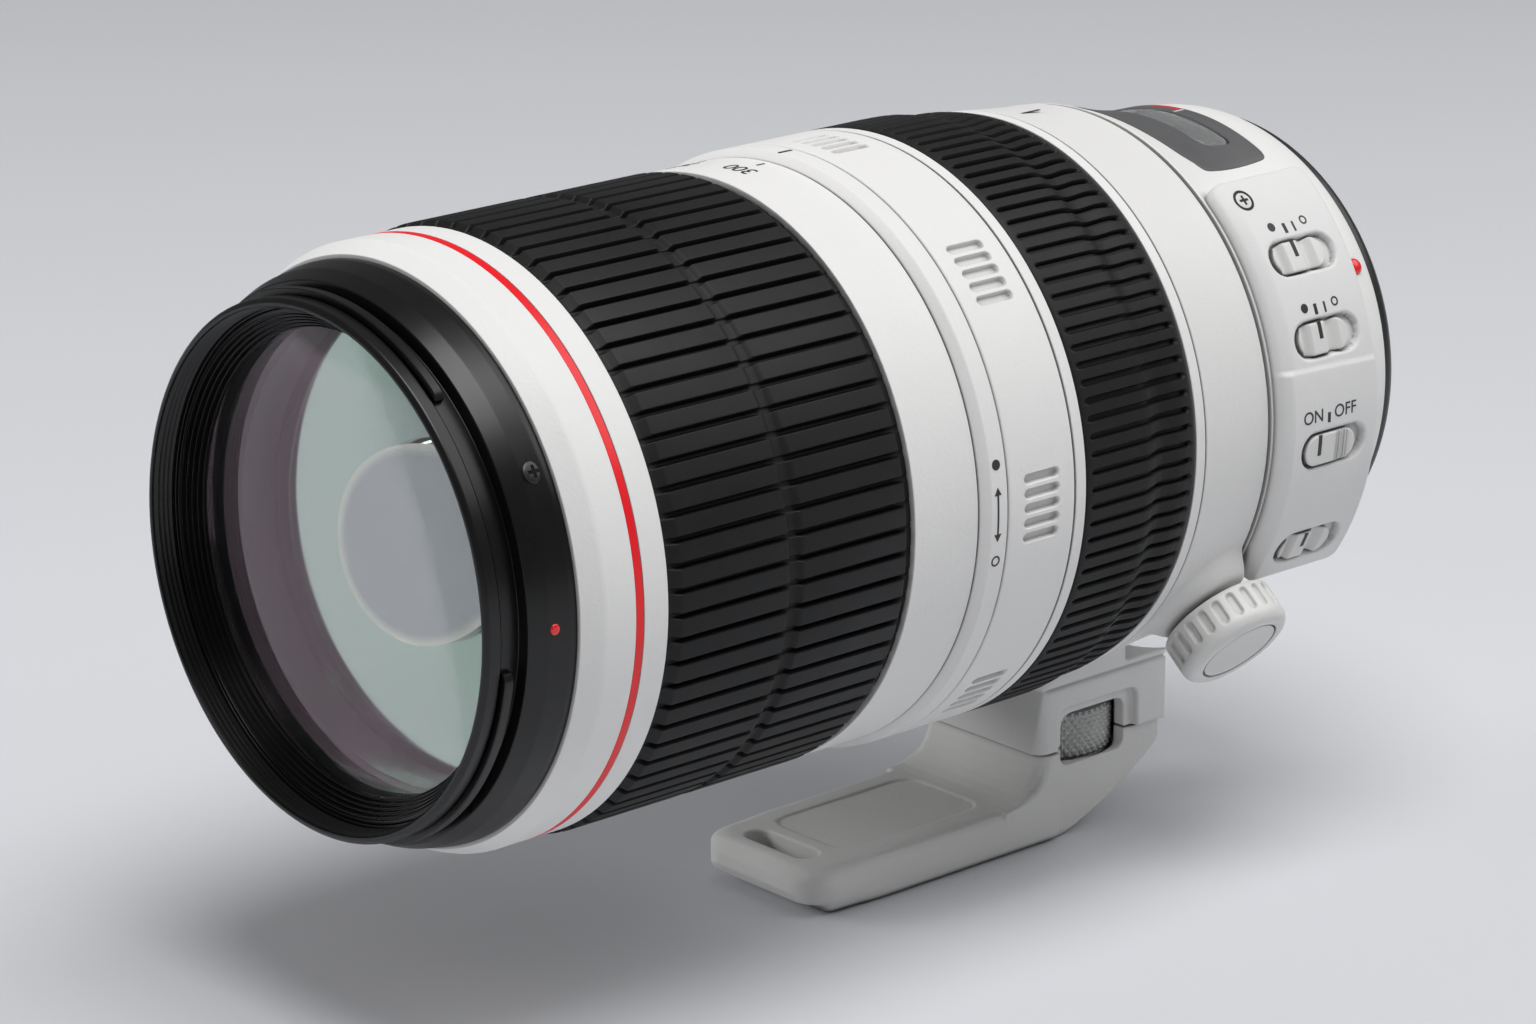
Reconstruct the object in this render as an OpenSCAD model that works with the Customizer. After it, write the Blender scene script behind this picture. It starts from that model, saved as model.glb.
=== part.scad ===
// Telephoto zoom lens with a turning tripod collar and a foot that comes off.
// The optical axis runs along Y and the front glass faces -Y. Up is +Z, and +X is the switch side.
// The origin is the centre of the camera mount's flange face. All lengths are millimetres.
// A station is a distance along the axis, measured forward from the flange face.

/* [Ring lengths, from the mount forward] */
// Black trim ring, from the flange face to the rear housing
trim_len = 6; // [5:0.1:8]
// Rear housing with the distance window and the switches
housing_len = 33.4; // [31:0.1:40]
// Band of the tripod collar
collar_len = 16.1; // [14:0.1:20]
// Focus ring
focus_len = 29.9; // [27:0.1:36]
// Zoom tension ring
tension_len = 14.1; // [12:0.1:18]
// Fixed ring with the index marks
index_len = 4.9; // [4:0.1:7]
// Zoom ring, grip and white band together
zoom_len = 60.1; // [52:0.1:68]
// White part of the zoom ring behind its grip
zoom_band_len = 12.9; // [10:0.1:16]
// White front ring
front_len = 15.1; // [13:0.1:18]
// Black hood ring at the front
hood_len = 13.4; // [12:0.1:16]
// Line left open between two neighbouring rings
parting = 0.25; // [0.15:0.05:0.4]

/* [Walls, from the axis outward] */
// Radius of the guide barrel's bore, in which the inner lens groups sit
guide_bore = 36.4; // [35.4:0.1:40]
// Guide barrel wall
guide_wall = 1.45; // [1.1:0.05:2]
// Cam barrel wall
cam_wall = 1.8; // [1.4:0.1:2.4]
// Free space between the cam barrel and the inner barrel
tube_gap = 0.8; // [0.5:0.1:1.5]
// Inner barrel wall
tube_wall = 1.6; // [1.2:0.1:2.2]
// Skirt of the zoom ring that reaches back to the cam barrel
skirt_wall = 1.2; // [0.9:0.1:1.8]
// Main barrel wall at its wide front part
barrel_wall = 1.25; // [1:0.05:2]
// Zoom ring wall under the grip
zoom_wall = 1.8; // [1.3:0.1:2.4]
// Thickness of the zoom ring's rubber grip
zoom_grip_t = 1.8; // [1.5:0.1:2.4]
// Tension ring wall
tension_wall = 1.8; // [1.4:0.1:2.4]
// Free space between the guide barrel and the distance drum
drum_gap = 1; // [0.6:0.1:1.6]
// Distance drum wall
drum_wall = 0.95; // [0.7:0.05:1.4]
// Free space between the motor and the narrow part of the drum that carries the scale
motor_gap = 0.45; // [0.3:0.05:0.8]
// Free space between the drum's scale and the rear housing
scale_gap = 0.55; // [0.4:0.05:0.9]
// Main barrel wall at its narrow rear part
neck_wall = 2.35; // [1.8:0.05:3]
// Tripod collar wall
collar_wall = 2.85; // [2.2:0.05:3.6]
// Focus ring wall under the rear part of its grip
focus_wall = 1.75; // [1.4:0.05:2.2]
// Focus ring wall under the front part of its grip
focus_front_wall = 0.7; // [0.6:0.05:1]
// White front ring wall
front_wall = 3.3; // [2.6:0.1:4]

/* [Clearances] */
// Between barrels that turn inside one another
run_gap = 0.15; // [0.1:0.05:0.3]
// Between rings and barrels that slide or turn on one another
slide_gap = 0.2; // [0.15:0.05:0.35]
// Around a follower in its slot
slot_gap = 0.35; // [0.3:0.05:0.5]
// Around a pin or screw in its hole
pin_gap = 0.05; // [0.03:0.01:0.1]
// Around a part that is set into an opening
set_gap = 0.05; // [0.03:0.01:0.1]

/* [Zoom drive] */
// Turn of the zoom ring, in degrees
zoom_turn = 85; // [60:1:100]
// Travel of the zoom group inside
zoom_group_travel = 25; // [15:0.5:30]
// Radius of the cam followers
follower_r = 2; // [1.5:0.1:2.4]
// Flange that carries the guide barrel
barrel_flange_t = 2; // [1.5:0.1:3]
// Flange at the back of the cam barrel, fixed in the zoom ring's skirt
cam_flange_t = 3; // [2:0.1:4]
// Metal left in the cam barrel ahead of its slots
cam_rim = 1.05; // [0.8:0.05:2]
// Length of the iris unit
iris_t = 5; // [4.6:0.1:6]
// Free space between the iris unit and the zoom group
zoom_cell_gap = 8; // [2:0.5:12]
// Length of the zoom group's cell
zoom_cell_t = 16; // [14:0.5:20]

/* [Focus drive] */
// Turn of the focus ring either way, in degrees
focus_turn = 60; // [40:1:70]
// Turn of the distance drum for one turn of the focus ring
drum_ratio = 0.5; // [0.4:0.05:0.6]
// Travel of the focus group either way
focus_travel = 5; // [3:0.5:6]
// Radius of the focus drive pins
focus_pin_r = 1.5; // [1.2:0.1:1.8]
// Radius of the rollers between the focus ring and the drum
roller_r = 1.6; // [1.2:0.1:2]
// Length of the main barrel's wide part under the focus ring
wide_len = 8.4; // [7:0.1:10]
// Length of the focus group's cell
focus_cell_t = 9; // [8:0.1:11]
// Length of the stabilizer unit
stabilizer_t = 10.5; // [9.5:0.1:12]
// Travel of the stabilizer's glass from the middle, each way
stabilizer_play = 1.2; // [0.8:0.1:1.5]

/* [Grips] */
// Ribs round the zoom grip
zoom_ribs = 78; // [60:1:90]
// Width of the grooves in the zoom grip
zoom_groove_w = 0.9; // [0.6:0.1:1.2]
// Depth of the grooves in both grips
groove_depth = 0.9; // [0.6:0.1:1.1]
// Smooth band in the middle of the zoom grip
zoom_grip_split = 1.6; // [1:0.1:3]
// Ribs round the focus grip
focus_ribs = 108; // [80:1:120]
// Width of the grooves in the focus grip
focus_groove_w = 0.8; // [0.5:0.1:1]
// Height of the focus grip's front part above the ring's bore
focus_grip_rise = 1.9; // [1.6:0.1:2.6]
// Drop of the focus grip's waist below its front part
focus_waist = 1.4; // [0.8:0.1:1.6]
// Bevel at the ends of both grips
grip_bevel = 0.7; // [0.4:0.1:1]
// Groups of finger slots on the tension ring
tension_groups = 8; // [4:1:9]
// Slots in one group
tension_slots = 5; // [3:1:6]
// Length of a finger slot
tension_slot_len = 7; // [5:0.1:9]
// Width of a finger slot
tension_slot_w = 1.3; // [0.9:0.1:1.6]
// Depth of a finger slot
tension_slot_depth = 0.6; // [0.4:0.1:1]
// Angle from one finger slot to the next
tension_slot_step = 2.8; // [2.4:0.1:4]

/* [Front] */
// Radius of the filter thread
thread_r = 38.5; // [37.5:0.05:39]
// Depth of the filter thread
thread_depth = 3.6; // [2.5:0.1:4.5]
// From the filter thread in to the edge of the front element
glass_inset = 2.5; // [2:0.1:4]
// Curvature of the front element's outer face
front_glass_bend = 180; // [150:1:260]
// Thickness of the front element at its middle
front_glass_t = 9; // [7:0.1:10]
// Width of the red trim line
red_line_w = 1.4; // [0.8:0.1:2]
// Distance from the zoom ring to the middle of the red line
red_line_at = 5.4; // [4:0.1:7]
// Wall of the black band over the inner barrel
hood_wall = 1.2; // [1:0.1:2]
// Wall of the front rim round the filter thread
rim_wall = 1.5; // [1.2:0.1:2]
// Height above the rim of the tabs that hold a hood
hood_tab_h = 0.9; // [0.6:0.1:1.2]

/* [Rear housing] */
// Radius at the housing's rear edge
trim_r = 37.6; // [37:0.1:39]
// Wall of the housing
housing_wall = 2.4; // [1.8:0.1:2.8]
// Length of the rounded rear shoulder
shoulder_len = 9; // [8:0.5:10]
// Half angle of the distance window's bezel at its front
window_half = 30; // [26:1:32]
// Length of the bezel along the axis
window_len = 22; // [19:0.1:22.5]
// How far the front edge of the window's bezel bows forward
window_bow = 4; // [2:0.1:5]
// Height of the switch panel's face above the housing's front edge
panel_rise = 2.4; // [2:0.1:2.8]
// Step up from the upper to the lower part of the switch panel
panel_step = 0.3; // [0.1:0.1:0.5]
// Lower end of the switch panel, in degrees above the horizontal
panel_low = -35; // [-40:1:-33]
// Upper end of the switch panel
panel_high = 52; // [50:1:53]
// Angle of the focus limit switch
focus_limit_angle = 33.3; // [30:0.1:36]
// Angle of the focus mode switch
focus_mode_angle = 16.8; // [14:0.1:20]
// Angle of the stabilizer switch
stabilizer_angle = -5; // [-8:0.1:0]
// Angle of the stabilizer mode switch
stabilizer_mode_angle = -27; // [-28:0.1:-22]
// Length of a switch slot
switch_slot_len = 14; // [12:0.1:16]
// Width of a switch slot
switch_slot_w = 5.6; // [4.6:0.1:6]
// Depth of a switch slot
switch_slot_depth = 1.1; // [0.9:0.1:1.2]
// Length of a switch knob
slider_len = 11.6; // [9:0.1:12]

/* [Mount] */
// Radius of the mount's throat
throat_r = 25.4; // [24:0.1:26]
// Radius of the bayonet's collar behind the flange
bayonet_r = 27; // [26.5:0.1:27.4]
// Radius over the bayonet lugs
lug_r = 29; // [28.4:0.1:29.6]
// Reach of the bayonet behind the flange face
bayonet_len = 5.6; // [4.5:0.1:6.5]
// Thickness of a bayonet lug
lug_t = 1.5; // [1:0.1:2]
// Radius of the flange
flange_r = 32.6; // [31.5:0.1:33]
// Thickness of the flange
flange_t = 2.4; // [1.8:0.1:3]

/* [Tripod collar and foot] */
// Height of the foot, from its base to the joint with the collar
foot_h = 15.4; // [14.4:0.1:20]
// Height of the saddle block, from that joint to the collar's band
saddle_h = 12.2; // [11:0.1:15]
// Width of the saddle block under the collar
block_w = 28; // [26:0.5:30]
// Reach of the saddle block behind the collar's band
block_behind = 9.3; // [8:0.1:10]
// Reach of the saddle block ahead of the collar's band
block_ahead = 3.6; // [2:0.1:5]
// Width of the foot's arm
arm_w = 28; // [26:0.5:34]
// Thickness of the foot's arm
arm_t = 8; // [7:0.1:9.5]
// Reach of the arm ahead of the saddle block
arm_len = 49; // [40:0.5:60]
// Width of the foot's stem
stem_w = 25.2; // [23:0.1:27]
// Strap slot near the front of the arm, across it
strap_slot_w = 15; // [12:0.1:17]
// Strap slot, along the arm
strap_slot_len = 4.6; // [4.2:0.1:6]
// Radius of the thumb wheel
wheel_r = 11.4; // [9:0.1:11.6]
// Height of the thumb wheel
wheel_h = 8; // [6:0.1:9]
// Radius of the screw on the thumb wheel
wheel_screw_r = 3; // [2:0.1:3.5]
// Radius of the tripod thread
tripod_r = 3.175; // [2.5:0.005:4]
// Depth of the tripod thread
tripod_depth = 5.5; // [4.5:0.1:6]
// Narrowing of the collar's band towards the rear
collar_taper = 1.2; // [0.5:0.1:1.4]
// Angle of the lock knob below the horizontal, in degrees
knob_angle = 40; // [30:1:50]
// Radius of the lock knob
knob_r = 9.5; // [8:0.1:10]
// Height of the lock knob
knob_h = 7.4; // [6:0.1:9]
// Radius of the lock screw
lock_screw_r = 2.5; // [2:0.1:3]

/* [Hidden] */
$fn = 96;
half = parting / 2;

// Stations of the parting lines
s_housing = trim_len;
s_collar = s_housing + housing_len;
s_focus = s_collar + collar_len;
s_tension = s_focus + focus_len;
s_index = s_tension + tension_len;
s_zoom = s_index + index_len;
s_zoom_grip = s_zoom + zoom_band_len;
s_front = s_zoom + zoom_len;
s_hood = s_front + front_len;
s_tip = s_hood + hood_len;

// Radii, each built on the one inside it
guide_out = guide_bore + guide_wall;
cell_r = guide_bore - slide_gap;
cam_bore = guide_out + run_gap;
cam_out = cam_bore + cam_wall;
tube_bore = cam_out + tube_gap;
tube_out = tube_bore + tube_wall;
zoom_bore = tube_out + slide_gap;
skirt_out = zoom_bore + skirt_wall;
barrel_bore = skirt_out + run_gap;
barrel_out = barrel_bore + barrel_wall;
ring_bore = barrel_out + slide_gap;
tension_r = ring_bore + tension_wall;
zoom_base_r = zoom_bore + zoom_wall;
zoom_r = zoom_base_r + zoom_grip_t;
band_step = 0.2;
zoom_band_r = zoom_r - band_step;
front_r = tube_out + front_wall;
drum_bore = guide_out + drum_gap;
drum_out = drum_bore + drum_wall;
neck_bore = drum_out + slide_gap;
neck_out = neck_bore + neck_wall;
collar_bore = neck_out + slide_gap;
collar_r = collar_bore + collar_wall;
focus_rear_r = collar_bore + focus_wall;
focus_front_r = ring_bore + focus_front_wall;
focus_grip_r = ring_bore + focus_grip_rise;
focus_grip_rear_r = focus_grip_r - focus_waist;
housing_step = 0.1;
housing_r = collar_r - collar_taper - housing_step;
motor_inset = 1;
motor_r = guide_bore - motor_inset;
scale_bore = motor_r + motor_gap;
scale_out = scale_bore + drum_wall;
waist_r = scale_out + scale_gap + housing_wall;
hood_r = tube_out + hood_wall;
rim_r = thread_r + rim_wall;
hood_tab_r = rim_r + hood_tab_h;
front_glass_r = thread_r - glass_inset;
seam_drop = collar_r + saddle_h;
foot_drop = seam_drop + foot_h;

// Stations inside
spigot_len = 2.2;
barrel_web_t = 2;
flange_gap = 0.3;
tube_gap_behind = 2;
follower_inset = 5;
cam_reach = 2.2;
guide_reach = 0.7;
stabilizer_gap = 2;
roller_inset = 5.5;
drum_reach = 22.9;
s_spigot = s_collar - spigot_len;
s_shoulder = s_tension - wide_len;
s_guide_flange = s_shoulder + barrel_web_t;
s_skirt = s_guide_flange + barrel_flange_t + flange_gap;
s_tube = s_skirt + cam_flange_t + tube_gap_behind;
s_follower = s_tube + follower_inset;
s_cam_end = s_front + cam_reach;
s_guide_end = s_front + guide_reach;
front_travel = s_cam_end - cam_rim - slot_gap - follower_r - s_follower;
s_guide = s_collar + 1;
s_iris = s_follower - iris_t;
s_stabilizer = s_iris - stabilizer_gap - stabilizer_t;
s_roller = s_shoulder - roller_inset;
s_drum = s_collar - drum_reach;
drum_turn = focus_turn * drum_ratio;

// The focus group stops just behind the stabilizer at the end of its travel
focus_glass_r = guide_bore - 6;
focus_glass_bend = 120;
focus_pin_inset = 4;
focus_glass_sink = 1;
focus_stop_gap = 0.4;
focus_reach = focus_cell_t - focus_pin_inset - focus_glass_sink + sag(focus_glass_bend, focus_glass_r);
s_focus_pin = s_stabilizer - focus_stop_gap - focus_travel - focus_reach;
s_focus_cell = s_focus_pin - focus_pin_inset;

// The zoom group, with its followers near its rear end
zoom_follower_inset = 4;
s_zoom_cell = s_iris + iris_t + zoom_cell_gap;
s_zoom_follower = s_zoom_cell + zoom_follower_inset;

// Front, measured from the tip
glass_sink = 0.2;
cell_gap = 1.4;
seat_depth = 1.4;
s_thread = s_tip - thread_depth;
s_vertex = s_thread - glass_sink;
s_front_cell = s_cam_end + cell_gap;
front_edge = s_vertex - sag(front_glass_bend, front_glass_r);
s_front_seat = front_edge - seat_depth;

// The turned shape of a closed outline, given as radius and station
module turned(outline) {
    rotate_extrude($fn = 180) polygon(outline);
}

// A plain tube between two stations
module tube(bore, out, from, to) {
    rotate_extrude($fn = 180) translate([bore, from]) square([out - bore, to - from]);
}

// Part of a turned shape, between two angles above the horizontal
module turned_part(outline, from, to) {
    rotate([0, 0, from]) rotate_extrude(angle = to - from, $fn = 180) polygon(outline);
}

// Turns children so that their Z points outward from the axis, at an angle and a station
module radial(angle, station) {
    rotate([0, 0, angle]) translate([0, 0, station]) rotate([0, 90, 0]) children();
}

// A radial pin between two radii
module radial_pin(angle, station, r, from, to) {
    radial(angle, station) translate([0, 0, from]) cylinder(r = r, h = to - from, $fn = 32);
}

// A radial slot with round ends, its length along the axis
module radial_slot(angle, station, length, width, from, to) {
    radial(angle, station) translate([0, 0, from]) linear_extrude(to - from) oblong(length, width);
}

// A flat oblong with round ends, its length along X
module oblong(length, width) {
    run = max(length - width, 0.01);
    square([run, width], center = true);
    for (end = [-1, 1]) translate([end * run / 2, 0]) circle(d = width, $fn = 32);
}

slot_overlap = 0.8;
slot_trim = 0.06;

// A slot that winds round a tube while it rises, wide enough for a pin of radius r.
// Near its ends the pin's round path is cut by a row of holes.
module helical_slot(angle, from, rise, turn, r, r_in, r_out) {
    lead = atan(r_out * turn * PI / 180 / rise);
    width = 2 * r / cos(lead);
    past = r * sin(lead) / rise;
    ends = ceil(tan(lead) / slot_overlap);
    rotate([0, 0, angle]) translate([0, 0, from])
        linear_extrude(rise, twist = turn, slices = 24, segments = 4)
            translate([r_in - 1, -width / 2]) square([r_out - r_in + 2, width]);
    for (i = [0 : ends], end = [0, 1]) let (way = abs(end - past * i / ends))
        radial_pin(angle - turn * way, from + rise * way, i == 0 ? r : r - slot_trim, r_in - 1, r_out + 1);
}

// A glass element: a disc between two spherical faces. A bend above zero is convex, below zero concave.
module glass(r, vertex, thickness, front_bend, rear_bend) {
    difference() {
        intersection() {
            translate([0, 0, vertex - thickness - 4]) cylinder(r = r, h = thickness + 8);
            if (front_bend > 0) translate([0, 0, vertex - front_bend]) sphere(front_bend, $fn = 240);
            if (rear_bend > 0)
                translate([0, 0, vertex - thickness + rear_bend]) sphere(rear_bend, $fn = 240);
            if (front_bend <= 0) translate([0, 0, vertex - thickness - 4])
                cylinder(r = r + 1, h = thickness + 4 + sag(-front_bend, r));
            if (rear_bend <= 0) translate([0, 0, vertex - thickness - sag(-rear_bend, r)])
                cylinder(r = r + 1, h = thickness + 8 + sag(-rear_bend, r));
        }
        if (front_bend < 0) translate([0, 0, vertex - front_bend]) sphere(-front_bend, $fn = 240);
        if (rear_bend < 0)
            translate([0, 0, vertex - thickness + rear_bend]) sphere(-rear_bend, $fn = 240);
    }
}

// Depth of a spherical face of a given bend at radius r
function sag(bend, r) = bend == 0 ? 0 : bend - sqrt(bend * bend - r * r);

// Points of an arc about a centre
function arc(x, y, rx, ry, from, to, steps) =
    [for (i = [0 : steps]) let (a = from + (to - from) * i / steps) [x + rx * cos(a), y + ry * sin(a)]];

corner_steps = 4;

// The point at a distance from p towards q
function toward(p, q, distance) = p + (q - p) * distance / norm(q - p);

// Points that round the corner p between its neighbours
function corner(before, p, after, reach) =
    let (a = toward(p, before, reach), b = toward(p, after, reach))
    [for (i = [0 : corner_steps]) let (t = i / corner_steps)
        (1 - t) * (1 - t) * a + 2 * t * (1 - t) * p + t * t * b];

// An outline with every corner rounded
function rounded(points, reach) = let (last = len(points) - 1)
    [for (i = [0 : last])
        each corner(points[i == 0 ? last : i - 1], points[i], points[i == last ? 0 : i + 1], reach)];

// Corners of a rectangle between two points
function rectangle(low, high) = [low, [high[0], low[1]], high, [low[0], high[1]]];

// Points from p to q that bow to the right of the way there
function bowed(p, q, bow, steps) = let (way = q - p, side = [way[1], -way[0]] / norm(way))
    [for (i = [0 : steps]) let (t = i / steps) p + way * t + side * 4 * bow * t * (1 - t)];

// Lays the optical axis along Y, with the front towards -Y
module on_axis() {
    rotate([90, 0, 0]) children();
}

/* Mount end */

lugs = 3;
lug_angle = 58;
lug_start = 61;
lug_root = bayonet_r - 0.2;
screw_head_r = 1.7;
screw_head_t = 1;
screw_r = 0.9;
screw_circle = (bayonet_r + flange_r) / 2;
mount_screw_angles = [45, 135, 225, 315];
trim_seat = 2.6;

module bayonet_mount() color("silver") on_axis() difference() {
    union() {
        tube(throat_r, flange_r, 0, flange_t);
        tube(throat_r, bayonet_r, -bayonet_len, 0);
        for (i = [0 : lugs - 1])
            rotate([0, 0, i * 360 / lugs + lug_start])
                turned_part([[lug_root, -bayonet_len], [lug_r, -bayonet_len], [lug_r, lug_t - bayonet_len],
                             [lug_root, lug_t - bayonet_len]], 0, lug_angle);
    }
    for (a = mount_screw_angles) rotate([0, 0, a]) translate([screw_circle, 0, -1]) {
        cylinder(r = screw_head_r + pin_gap, h = 1 + screw_head_t + pin_gap, $fn = 32);
        cylinder(r = screw_r + pin_gap, h = flange_t + 2, $fn = 32);
    }
}

module mount_screws() color("dimgray") on_axis()
    for (a = mount_screw_angles) rotate([0, 0, a]) translate([screw_circle, 0, 0]) {
        cylinder(r = screw_head_r, h = screw_head_t, $fn = 32);
        cylinder(r = screw_r, h = s_trim_floor, $fn = 32);
    }

gasket_t = 1;
gasket_lip = 1.7;
gasket_r = flange_r + gasket_lip;
gasket_at = 0.6;

module mount_gasket() color("black") on_axis()
    turned([[flange_r, gasket_at], [gasket_r - 0.5, gasket_at], [gasket_r, gasket_at + gasket_t / 2],
            [gasket_r, gasket_at + gasket_t], [flange_r, gasket_at + gasket_t]]);

block_half = 36;
block_wall = 2;
block_sink = 1.2;
contact_count = 8;
contact_r = 0.8;
contact_step = 8;
contact_stand = 0.5;
contact_len = 2.4;
contact_circle = throat_r - block_wall - 0.4;
s_block = block_sink - bayonet_len;

// The contact block sits in the lower part of the throat, against its wall
module contact_block() color("black") on_axis() difference() {
    turned_part([[contact_circle - block_wall, s_block], [throat_r, s_block], [throat_r, flange_t],
                 [contact_circle - block_wall, flange_t]], 270 - block_half, 270 + block_half);
    contacts(contact_r + pin_gap, contact_len + pin_gap);
}

// A row of round contacts that stand a little proud of the block
module contacts(r, length) {
    for (i = [0 : contact_count - 1])
        rotate([0, 0, 270 + (i - (contact_count - 1) / 2) * contact_step])
            translate([contact_circle, 0, s_block - contact_stand]) cylinder(r = r, h = length, $fn = 24);
}

module contact_pins() color("gold") on_axis() contacts(contact_r, contact_len);

spigot_r = trim_r - housing_wall;
spigot_wall = 3;
board_set = 4;
board_at = s_housing + board_set;
trim_lip = 0.4;
trim_bevel_len = 3;
trim_bevel = 1;
trim_edge = 1.6;
s_trim_floor = flange_t + trim_seat;

module rear_trim_ring() color([0.1, 0.1, 0.1]) on_axis() difference() {
    turned([[flange_r, gasket_at + gasket_t], [gasket_r + trim_lip, gasket_at + gasket_t],
            [trim_r - trim_bevel, s_housing - trim_bevel_len], [trim_r, s_housing - trim_edge],
            [trim_r, s_housing - half],
            [spigot_r, s_housing - half], [spigot_r, board_at], [spigot_r - spigot_wall, board_at],
            [spigot_r - spigot_wall, s_trim_floor], [bayonet_r, s_trim_floor],
            [bayonet_r, flange_t], [flange_r, flange_t]]);
    for (a = mount_screw_angles) rotate([0, 0, a]) translate([screw_circle, 0, 0])
        cylinder(r = screw_r + pin_gap, h = s_trim_floor + 1, $fn = 32);
}

/* Rear housing */

s_waist = s_housing + shoulder_len;
flare_steps = 8;

// Radius of the housing's outside ahead of its shoulder, where it flares out from its waist to the collar
function housing_at(s) =
    waist_r + (housing_r - waist_r) * pow((s - s_waist) / (s_collar - half - s_waist), 2);

// Points along the flare between two stations, set out by a height
function flare(height, from, to) =
    [for (i = [0 : flare_steps]) let (s = from + (to - from) * i / flare_steps) [housing_at(s) + height, s]];

// Points of the shoulder's curve up to the waist, set in by a wall
function shoulder(wall) =
    [for (p = arc(0, 0, shoulder_len - wall, waist_r - trim_r, 180, 90, 8))
        [trim_r - wall + p[1], s_waist + p[0]]];

function reversed(list) = [for (i = [len(list) - 1 : -1 : 0]) list[i]];
function but_first(list) = [for (i = [1 : len(list) - 1]) list[i]];

window_gap = 3.1;
window_narrow = 2;
s_window = s_collar - window_gap - window_len;
s_window_side = s_window + window_len - window_bow;
window_x = housing_at(s_window_side) * sin(window_half);
window_rear_x = housing_at(s_window) * sin(window_half - window_narrow);
window_corner = 2.4;
bezel_stand = 0.2;
bead_angle = 29.6;
bead_r = 1.3;
bead_stand = 0.4;
bead_set = 4.2;
s_bead = s_housing + bead_set;
s_ledge = s_spigot - set_gap;

// Plan of the window's bezel, X across and station along: narrower behind, and its front edge bows forward
window_plan = concat(
    corner([-window_x, s_window_side], [-window_rear_x, s_window], [window_rear_x, s_window], window_corner),
    corner([-window_rear_x, s_window], [window_rear_x, s_window], [window_x, s_window_side], window_corner),
    corner([window_rear_x, s_window], [window_x, s_window_side - window_corner / 2],
           [0, s_window_side + window_bow], window_corner),
    [for (i = [-4 : 4]) [-i * window_x / 6, s_window_side + window_bow * (1 - i * i / 36)]],
    corner([0, s_window_side + window_bow], [-window_x, s_window_side - window_corner / 2],
           [-window_rear_x, s_window], window_corner));

module rear_housing() color([0.88, 0.87, 0.85]) on_axis() difference() {
    turned(concat(shoulder(0), but_first(flare(0, s_waist, s_collar - half)),
                  [[neck_out, s_collar - half], [neck_out, s_ledge]],
                  reversed(but_first(flare(-housing_wall, s_waist, s_ledge))),
                  reversed(shoulder(housing_wall)), [[spigot_r, s_housing]]));
    upright(0, housing_r + 2) polygon(window_plan);
    radial_pin(bead_angle, s_bead, bead_r + pin_gap, trim_r - set_gap, housing_r);
}

module mount_index_bead() color("red") on_axis() intersection() {
    radial_pin(bead_angle, s_bead, bead_r, trim_r, housing_r);
    turned(concat([[0, s_housing]], shoulder(-bead_stand), [[0, s_waist]]));
}

pane_margin = 9.5;
pane_inset = 3.7;
pane_len = 6.6;
s_pane = s_window + pane_inset;
pane_half = housing_at(s_pane) * sin(window_half - pane_margin);
pane_corner = 2;
pane_sink = 0.1;
pane_ledge = 1;
pane_t = 1.3;
pane_seat = -pane_sink - pane_t;

// An upright prism on the pane's plan, set out by a margin
module pane_prism(margin) {
    upright(0, housing_r + 2) polygon(rounded(rectangle(
        [-pane_half - margin, s_pane - margin], [pane_half + margin, s_pane + pane_len + margin]),
        pane_corner));
}

// A skin that follows the housing's flare, between two heights over it
module window_skin(low, high) {
    turned(concat(flare(low, s_window, s_collar), reversed(flare(high, s_window, s_collar))));
}

module window_bezel() color([0.2, 0.2, 0.21]) on_axis() difference() {
    intersection() {
        window_skin(-housing_wall, bezel_stand);
        upright(0, housing_r + 2) polygon(window_plan);
    }
    intersection() {
        window_skin(pane_seat - set_gap, 2);
        pane_prism(set_gap);
    }
    pane_prism(-pane_ledge);
}

module window_pane() color([0.6, 0.66, 0.7, 0.5]) on_axis() intersection() {
    window_skin(pane_seat, -pane_sink);
    pane_prism(0);
}

panel_face = housing_r + panel_rise;
panel_set = 2.4;
s_panel = s_waist + panel_set;
panel_gap = 0.8;
s_panel_end = s_collar - panel_gap;
panel_chamfer = 1.4;
panel_front_slope = 2.6;
panel_crease = 11;
s_switch = (s_panel + s_panel_end) / 2 - 0.4;
switch_floor = panel_face - switch_slot_depth;
panel_screw_angle = 46;
s_panel_screw = s_panel_end - 4.6;
panel_screw_r = 1.9;
panel_screw_t = 0.8;
cross_w = 0.5;
cross_depth = 0.7;
switch_angles = [focus_limit_angle, focus_mode_angle, stabilizer_angle, stabilizer_mode_angle];

s_panel_face = s_panel + panel_chamfer;
s_panel_face_end = s_panel_end - panel_front_slope;
panel_foot = 1.5;

// Sloped at both ends, and its lower part stands a step higher
module switch_panel() color([0.86, 0.86, 0.84]) on_axis() difference() {
    union() {
        turned_part(concat([[panel_face - panel_chamfer, s_panel], [panel_face, s_panel_face],
                            [panel_face, s_panel_face_end], [panel_face - panel_chamfer, s_panel_end]],
                           reversed(flare(set_gap, s_panel, s_panel_end))),
                    panel_low, panel_high);
        turned_part([[panel_face - panel_step, s_panel_face],
                     [panel_face + panel_step, s_panel_face + panel_step],
                     [panel_face + panel_step, s_panel_face_end - panel_step],
                     [panel_face - panel_step, s_panel_face_end]],
                    panel_low + panel_foot, panel_crease);
    }
    for (a = switch_angles)
        radial_slot(a, s_switch, switch_slot_len, switch_slot_w, switch_floor, panel_face + 2);
    radial_pin(panel_screw_angle, s_panel_screw, panel_screw_r + pin_gap, panel_face - panel_screw_t,
               panel_face + 2);
}

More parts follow.
